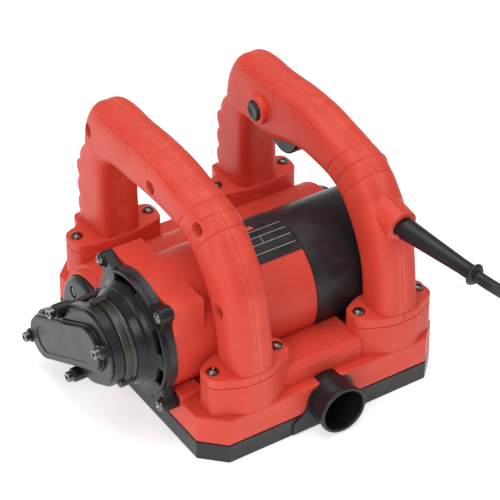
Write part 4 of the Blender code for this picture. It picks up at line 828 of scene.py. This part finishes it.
# ---- drum ends ----
def makeCaps():
    inner, face = side - 0.006, capOuter
    r, spigot = drum["cap"], drum["spigot"]
    rim = [(0.0, r - 0.0065), (0.0006, r - 0.0032), (0.0018, r - 0.0012), (0.004, r)]  # depth, radius
    profile = [(-inner, spigot), (-side - gap, spigot), (-side - gap, r)]
    profile += [(face + depth, radius) for depth, radius in reversed(rim)]
    profile += [(face, 0.02), (face + 0.0004, 0.0196), (face + 0.0004, 0.008), (-inner, 0.008)]
    left = turned("drumLeftCap", rounded(profile, 0.0004, 2), onX(drumAt), 112)
    for index, degrees in enumerate(drum["screwAngles"], 1):
        spot = onCircle(drumAt, drum["screwCircle"], degrees)
        cut(left, alongX("recess", spot, -0.2, face + 0.0022, 0.0052, 40),
            alongX("bore", spot, -0.2, 0, 0.0021, 24))
        small = Matrix.Translation((face + 0.0019, *spot)) @ headLeft @ Matrix.Rotation(index, 4, "Z")
        placeScrew(f"capScrew{index}", small @ Matrix.Diagonal((0.88, 0.88, 0.7, 1.0)),
                   f"cap_screw_{index}")
    finishPiece(left, "black_plastic", "drum_left_cap")
    profile = [(-face, 0.0), (-face, 0.012), (-face - 0.0008, 0.013), (-face - 0.0008, 0.024), (-face, 0.025)]
    profile += [(-face - depth, radius) for depth, radius in rim]
    profile += [(side + gap, r), (side + gap, spigot), (inner, spigot), (inner, 0.0143), (-face - 0.004, 0.0143),
                (-face - 0.004, 0.0)]
    right = turned("drumRightCap", profile, onX(drumAt), 112)
    finishPiece(right, "black_plastic", "drum_right_cap")


makeCaps()

# ---- handles ----
stations = [
    (0.08, 0.143, 0.1225, 0.145), (0.0785, 0.153, 0.1125, 0.166), (0.073, 0.159, 0.109, 0.187),
    (0.062, 0.161, 0.098, 0.205), (0.05, 0.162, 0.08, 0.21), (0.036, 0.1625, 0.054, 0.2085),
    (0.016, 0.1635, 0.022, 0.2095), (-0.004, 0.164, -0.009, 0.2075), (-0.023, 0.1635, -0.037, 0.2015),
    (-0.038, 0.1615, -0.057, 0.197), (-0.0495, 0.157, -0.0715, 0.1935), (-0.059, 0.15, -0.084, 0.186),
    (-0.0665, 0.1415, -0.093, 0.177), (-0.0735, 0.131, -0.106, 0.16), (-0.079, 0.12, -0.116, 0.141),
    (-0.0835, 0.1095, -0.12, 0.125), (-0.087, 0.095, -0.1235, 0.099), (-0.088, 0.074, -0.1268, 0.074)]
grip = {"halfWidth": 0.019, "wall": 0.003, "square": 3.0, "columnSquare": 5.5, "between": 4, "around": 22,
        "seam": 0.0004, "groove": 0.0006, "creases": (9.0, 10.0, 11.0), "topCreases": (5.6, 6.6),
        "crease": 0.0008, "lines": (0.3, 0.66), "lineStart": 3.0, "lineEnd": 8.4,
        "bumpPitch": 0.019, "bumpStart": 0.088, "bumpDepth": 0.0052}
bulge = {0.073: -0.006, 0.062: -0.0115, 0.05: -0.0125, 0.036: -0.01, 0.016: -0.0032}
clamp = {"holes": [(0.097, 0.1818), (-0.002, 0.1828), (-0.069, 0.183), (-0.0995, 0.1259)],
         "radius": 0.006, "tube": 0.0059, "bore": 0.00545, "mouth": 0.0022, "floor": 0.015, "end": 0.0162,
         "seat": 0.013}
switchPlaces = {"bossStart": (0.071, -0.092, 0.16), "bossRadius": 0.0135, "guardBore": 0.00855,
                "slot": (0.0066, (0.013, 0.138), (0.0775, 0.1775)), "button": (0.0535, 0.1785),
                "collar": (0.0564, 0.047, 0.013), "buttonBore": 0.009}


def gripRings(deep):
    count = grip["between"] + 1
    shape = [(y, z + (bulge.get(y, 0.0) if deep else 0.0), b, c) for y, z, b, c in stations]
    smooth = smoothPoints(shape, grip["between"])
    rings = [((0.08, 0.081, 0.1265, 0.081), 0.0, 1.0, -1.0)]
    for step in range(1, 29):  # the rear column
        z = 0.081 + 0.06 * step / 29
        fade = easeStep(z, 0.081, 0.088)
        rings.append(((0.08, z, 0.1265 * (1 - fade) + fade * (0.1268 - 0.03 * (z - 0.088)), z), 0.0, 1.0, -1.0))
    marks = {at: 1.0 for at in grip["creases"]}
    marks.update({at: 0.45 for at in grip["topCreases"]})
    places = [i / count for i in range(len(smooth))]
    for at in marks:
        places = [p for p in places if abs(p - at) > 0.09] + [at - 0.07, at, at + 0.07]
    places += [0.1, 0.3, 0.5, 0.7, 0.9]
    for place in sorted(places):
        index = min(int(place * count), len(smooth) - 2)
        t = place * count - index
        ring = tuple(a + (b - a) * t for a, b in zip(smooth[index], smooth[index + 1]))
        rings.append((ring, grip["crease"] if place in marks else 0.0, marks.get(place, 1.0), place))
    result = []
    for (y, z, outY, outZ), depth, reach, place in rings:
        if outY > 0.1:  # scallops for the fingers
            wave = abs(sin(pi * (outZ - grip["bumpStart"]) / grip["bumpPitch"])) ** 0.6
            fade = easeStep(outZ, 0.083, 0.088) * (1 - easeStep(outZ, 0.166, 0.174))
            outY -= fade * grip["bumpDepth"] * (1 - wave)
        square = grip["square"] + (grip["columnSquare"] - grip["square"]) * (1 - easeStep(place, -0.5, 1.6))
        result.append(((y, z, outY, outZ), depth, reach, place, square))
    return result


def halfSection(ring, depth, reach, line, square, centre, way):
    inner, outer = Vector(ring[:2]), Vector(ring[2:])
    mid, half = (inner + outer) / 2, (outer - inner).length / 2
    up = (outer - inner).normalized()
    shares = [i / grip["around"] for i in range(grip["around"] + 1)]
    for mark in grip["lines"]:
        shares = [s for s in shares if abs(s - mark) > 0.02] + [mark - 0.012, mark, mark + 0.012]
    points = []
    for wall, order in ((0.0, sorted(shares)), (grip["wall"], sorted(shares, reverse=True))):
        for share in order:
            angle = pi * share
            rise, spread = cos(angle), sin(angle)
            rise = copysign(abs(rise) ** (2 / square), rise)
            spread = abs(spread) ** (2 / square)
            shrink = wall
            if wall == 0.0:
                shrink = grip["seam"] if share in (0.0, 1.0) else 0.0
                shrink = max(shrink, depth if share <= reach else 0.0)
                shrink = max(shrink, line if share in grip["lines"] else 0.0)
            spot = mid + up * rise * (half - shrink)
            points.append((centre + way * (gap / 2 + spread * (grip["halfWidth"] - shrink)), spot.x, spot.y))
    return points


def makeShell(name, node, centre, way, right):
    bm = bmesh.new()
    loops = []
    for ring, depth, reach, place, square in gripRings(right):
        line = grip["groove"] * easeStep(place, grip["lineStart"], grip["lineStart"] + 0.3)
        line *= 1 - easeStep(place, grip["lineEnd"] - 0.3, grip["lineEnd"])
        loops.append([bm.verts.new(p) for p in halfSection(ring, depth, reach, line, square, centre, way)])
    size = len(loops[0])
    for before, after in zip(loops, loops[1:]):
        for i in range(size):
            j = (i + 1) % size
            bm.faces.new((before[i], before[j], after[j], after[i]))
    bm.faces.new(loops[0])
    bm.faces.new(loops[-1])
    shell = addPiece(name, bm)
    if right:
        fitSwitchAndCable(shell, centre, way)
    if way == (1 if right else -1):
        face = centre + way * grip["halfWidth"]
        low, high = sorted((face + way * 0.01, face - way * 0.0165))
        for spot in clamp["holes"]:
            cut(shell, alongX("clampHole", spot, low, high, clamp["radius"], 36))
    for end, (reach, y) in footScrews.items():
        top = footTop[end]
        outline = [(centre + way * max(across, gap / 2), deep) for across, deep in smoothPoints(feet[end], 2)]
        foot = soften(prism("foot", outline, "XY", top - footThick, top), 0.0008, 2, 50)
        x = centre + way * reach
        cut(foot, rod("bore", (x, y, top - 0.02), (x, y, top + 0.01), motor["screwBore"], 24))
        merge(shell, foot)
    return finishPiece(shell, "red_plastic", node, degrees=46)


def fitSwitchAndCable(shell, centre, way):
    end = Vector(cable["bossEnd"])
    boss = soften(rod("cableBoss", switchPlaces["bossStart"], end, switchPlaces["bossRadius"], 72), 0.001, 3)
    edge = centre + way * gap
    low, high = sorted((edge, edge + way * 0.1))
    combine(boss, "INTERSECT", box("half", (low, -1, 0), (high, 1, 1)))
    join(shell, boss)
    aim = Vector(cable["direction"]).normalized()
    half, slotLow, slotHigh = switchPlaces["slot"]
    cut(shell, rod("guardBore", end - aim * (cable["guardRoot"] + gap), end + aim * 0.03,
                   switchPlaces["guardBore"], 48),
        box("triggerSlot", (centre - half, *slotLow), (centre + half, *slotHigh)))
    if way < 0:
        button, (inside, outside, radius) = switchPlaces["button"], switchPlaces["collar"]
        join(shell, stud("ring", button, inside, outside, radius, 0.0012, 72, 4))
        cut(shell, alongX("buttonBore", button, 0.03, 0.0605, switchPlaces["buttonBore"], 64))


def makeClampScrews(centre, label):
    out = -1 if label == "left" else 1
    face = centre + out * grip["halfWidth"]
    head = headLeft if out < 0 else Matrix.Rotation(pi / 2, 4, "Y")
    far, near, mouth, seat = (face - out * clamp[key] for key in ("end", "floor", "mouth", "seat"))
    profile = [(far, 0.0), (far, clamp["tube"]), (mouth, clamp["tube"]), (mouth, clamp["bore"]),
               (near, clamp["bore"]), (near, 0.0)]
    for index, spot in enumerate(clamp["holes"], 1):
        place = Matrix.Translation((seat, *spot)) @ head @ Matrix.Diagonal((0.86, 0.86, 0.8, 1.0))
        placeScrew(f"{label}ClampScrew{index}", place)
        tube = turned(f"{label}ScrewTube{index}", profile, onX(spot), 36)
        finishPiece(tube, "red_plastic")


for label, centre in zip(("left", "right"), handleX):
    outward = -1 if label == "left" else 1
    for name, way in (("outer", outward), ("inner", -outward)):
        makeShell(f"{label}Handle{name.title()}Shell", f"{label}_handle_{name}_shell", centre, way,
                  label == "right")
    makeClampScrews(centre, label)
print("handles made")


# ---- trigger and lock button ----
triggerLook = {"halfWidth": 0.006, "edge": 0.0016, "pin": (0.069, 0.1775), "pinBore": 0.0018,
               "finger": [(0.0755, 0.1815), (0.0755, 0.171), (0.071, 0.163), (0.063, 0.153), (0.053, 0.144),
                          (0.044, 0.14), (0.036, 0.14), (0.028, 0.1435), (0.021, 0.151), (0.0165, 0.161),
                          (0.015, 0.172)],
               "inside": [(0.015, 0.178), (0.058, 0.1815)]}
buttonLook = [(0.0575, 0.0), (0.0575, 0.0087), (0.0462, 0.0087), (0.045, 0.008), (0.0445, 0.0068),
              (0.0448, 0.005), (0.0453, 0.0025), (0.0455, 0.0)]


def makeSwitchgear():
    centre, half = handleX[1], triggerLook["halfWidth"]
    outline = smoothPoints(triggerLook["finger"], 3) + triggerLook["inside"]
    trigger = prism("triggerPaddle", outline, "YZ", centre - half, centre + half)
    soften(trigger, triggerLook["edge"], 4, 40)
    cut(trigger, alongX("pinBore", triggerLook["pin"], centre - 0.02, centre + 0.02, triggerLook["pinBore"], 32))
    finishPiece(trigger, "black_plastic", "trigger", body="trigger")
    button = turned("lockButton", buttonLook, onX(switchPlaces["button"]), 72)
    finishPiece(button, "black_plastic", "lock_button", body="lock_button")


makeSwitchgear()
print("switch made")

# ---- floor and light ----
studio = {"floor": (0.92, 0.92, 0.92), "glow": 0.52, "world": 0.36,
          "lights": [("top", (-0.05, 0.15, 1.6), 1.4, 14.0), ("left", (-1.3, -0.8, 1.05), 0.8, 9.5),
                     ("right", (1.15, -1.0, 1.25), 0.8, 4.0)]}


def makeStudio():
    bm = bmesh.new()
    bmesh.ops.create_grid(bm, x_segments=2, y_segments=2, size=6.0)
    floor = addPiece("floor", bm)
    floor.location = (0, 0, -0.0002)
    cover = bpy.data.materials.new("floorPaper")
    cover.use_nodes = True
    white = (1.0, 1.0, 1.0, 1.0)
    setInputs(cover.node_tree.nodes["Principled BSDF"], {
        "Base Color": (*studio["floor"], 1.0), "Roughness": 0.9, "Emission Color": white,
        "Emission Strength": studio["glow"]})
    floor.data.materials.append(cover)
    world = bpy.data.worlds.new("studio")
    world.use_nodes = True
    setInputs(world.node_tree.nodes["Background"], {"Color": white, "Strength": studio["world"]})
    scene.world = world
    for name, spot, size, power in studio["lights"]:
        lamp = bpy.data.lights.new(name, "AREA")
        lamp.shape = "SQUARE"
        lamp.size = size
        lamp.energy = power
        item = addObject(name, lamp)
        item.location = spot
        item.rotation_euler = (Vector(spot) - Vector((0, 0, 0.08))).to_track_quat("Z", "Y").to_euler()
    scene.view_settings.view_transform = "Standard"


makeStudio()
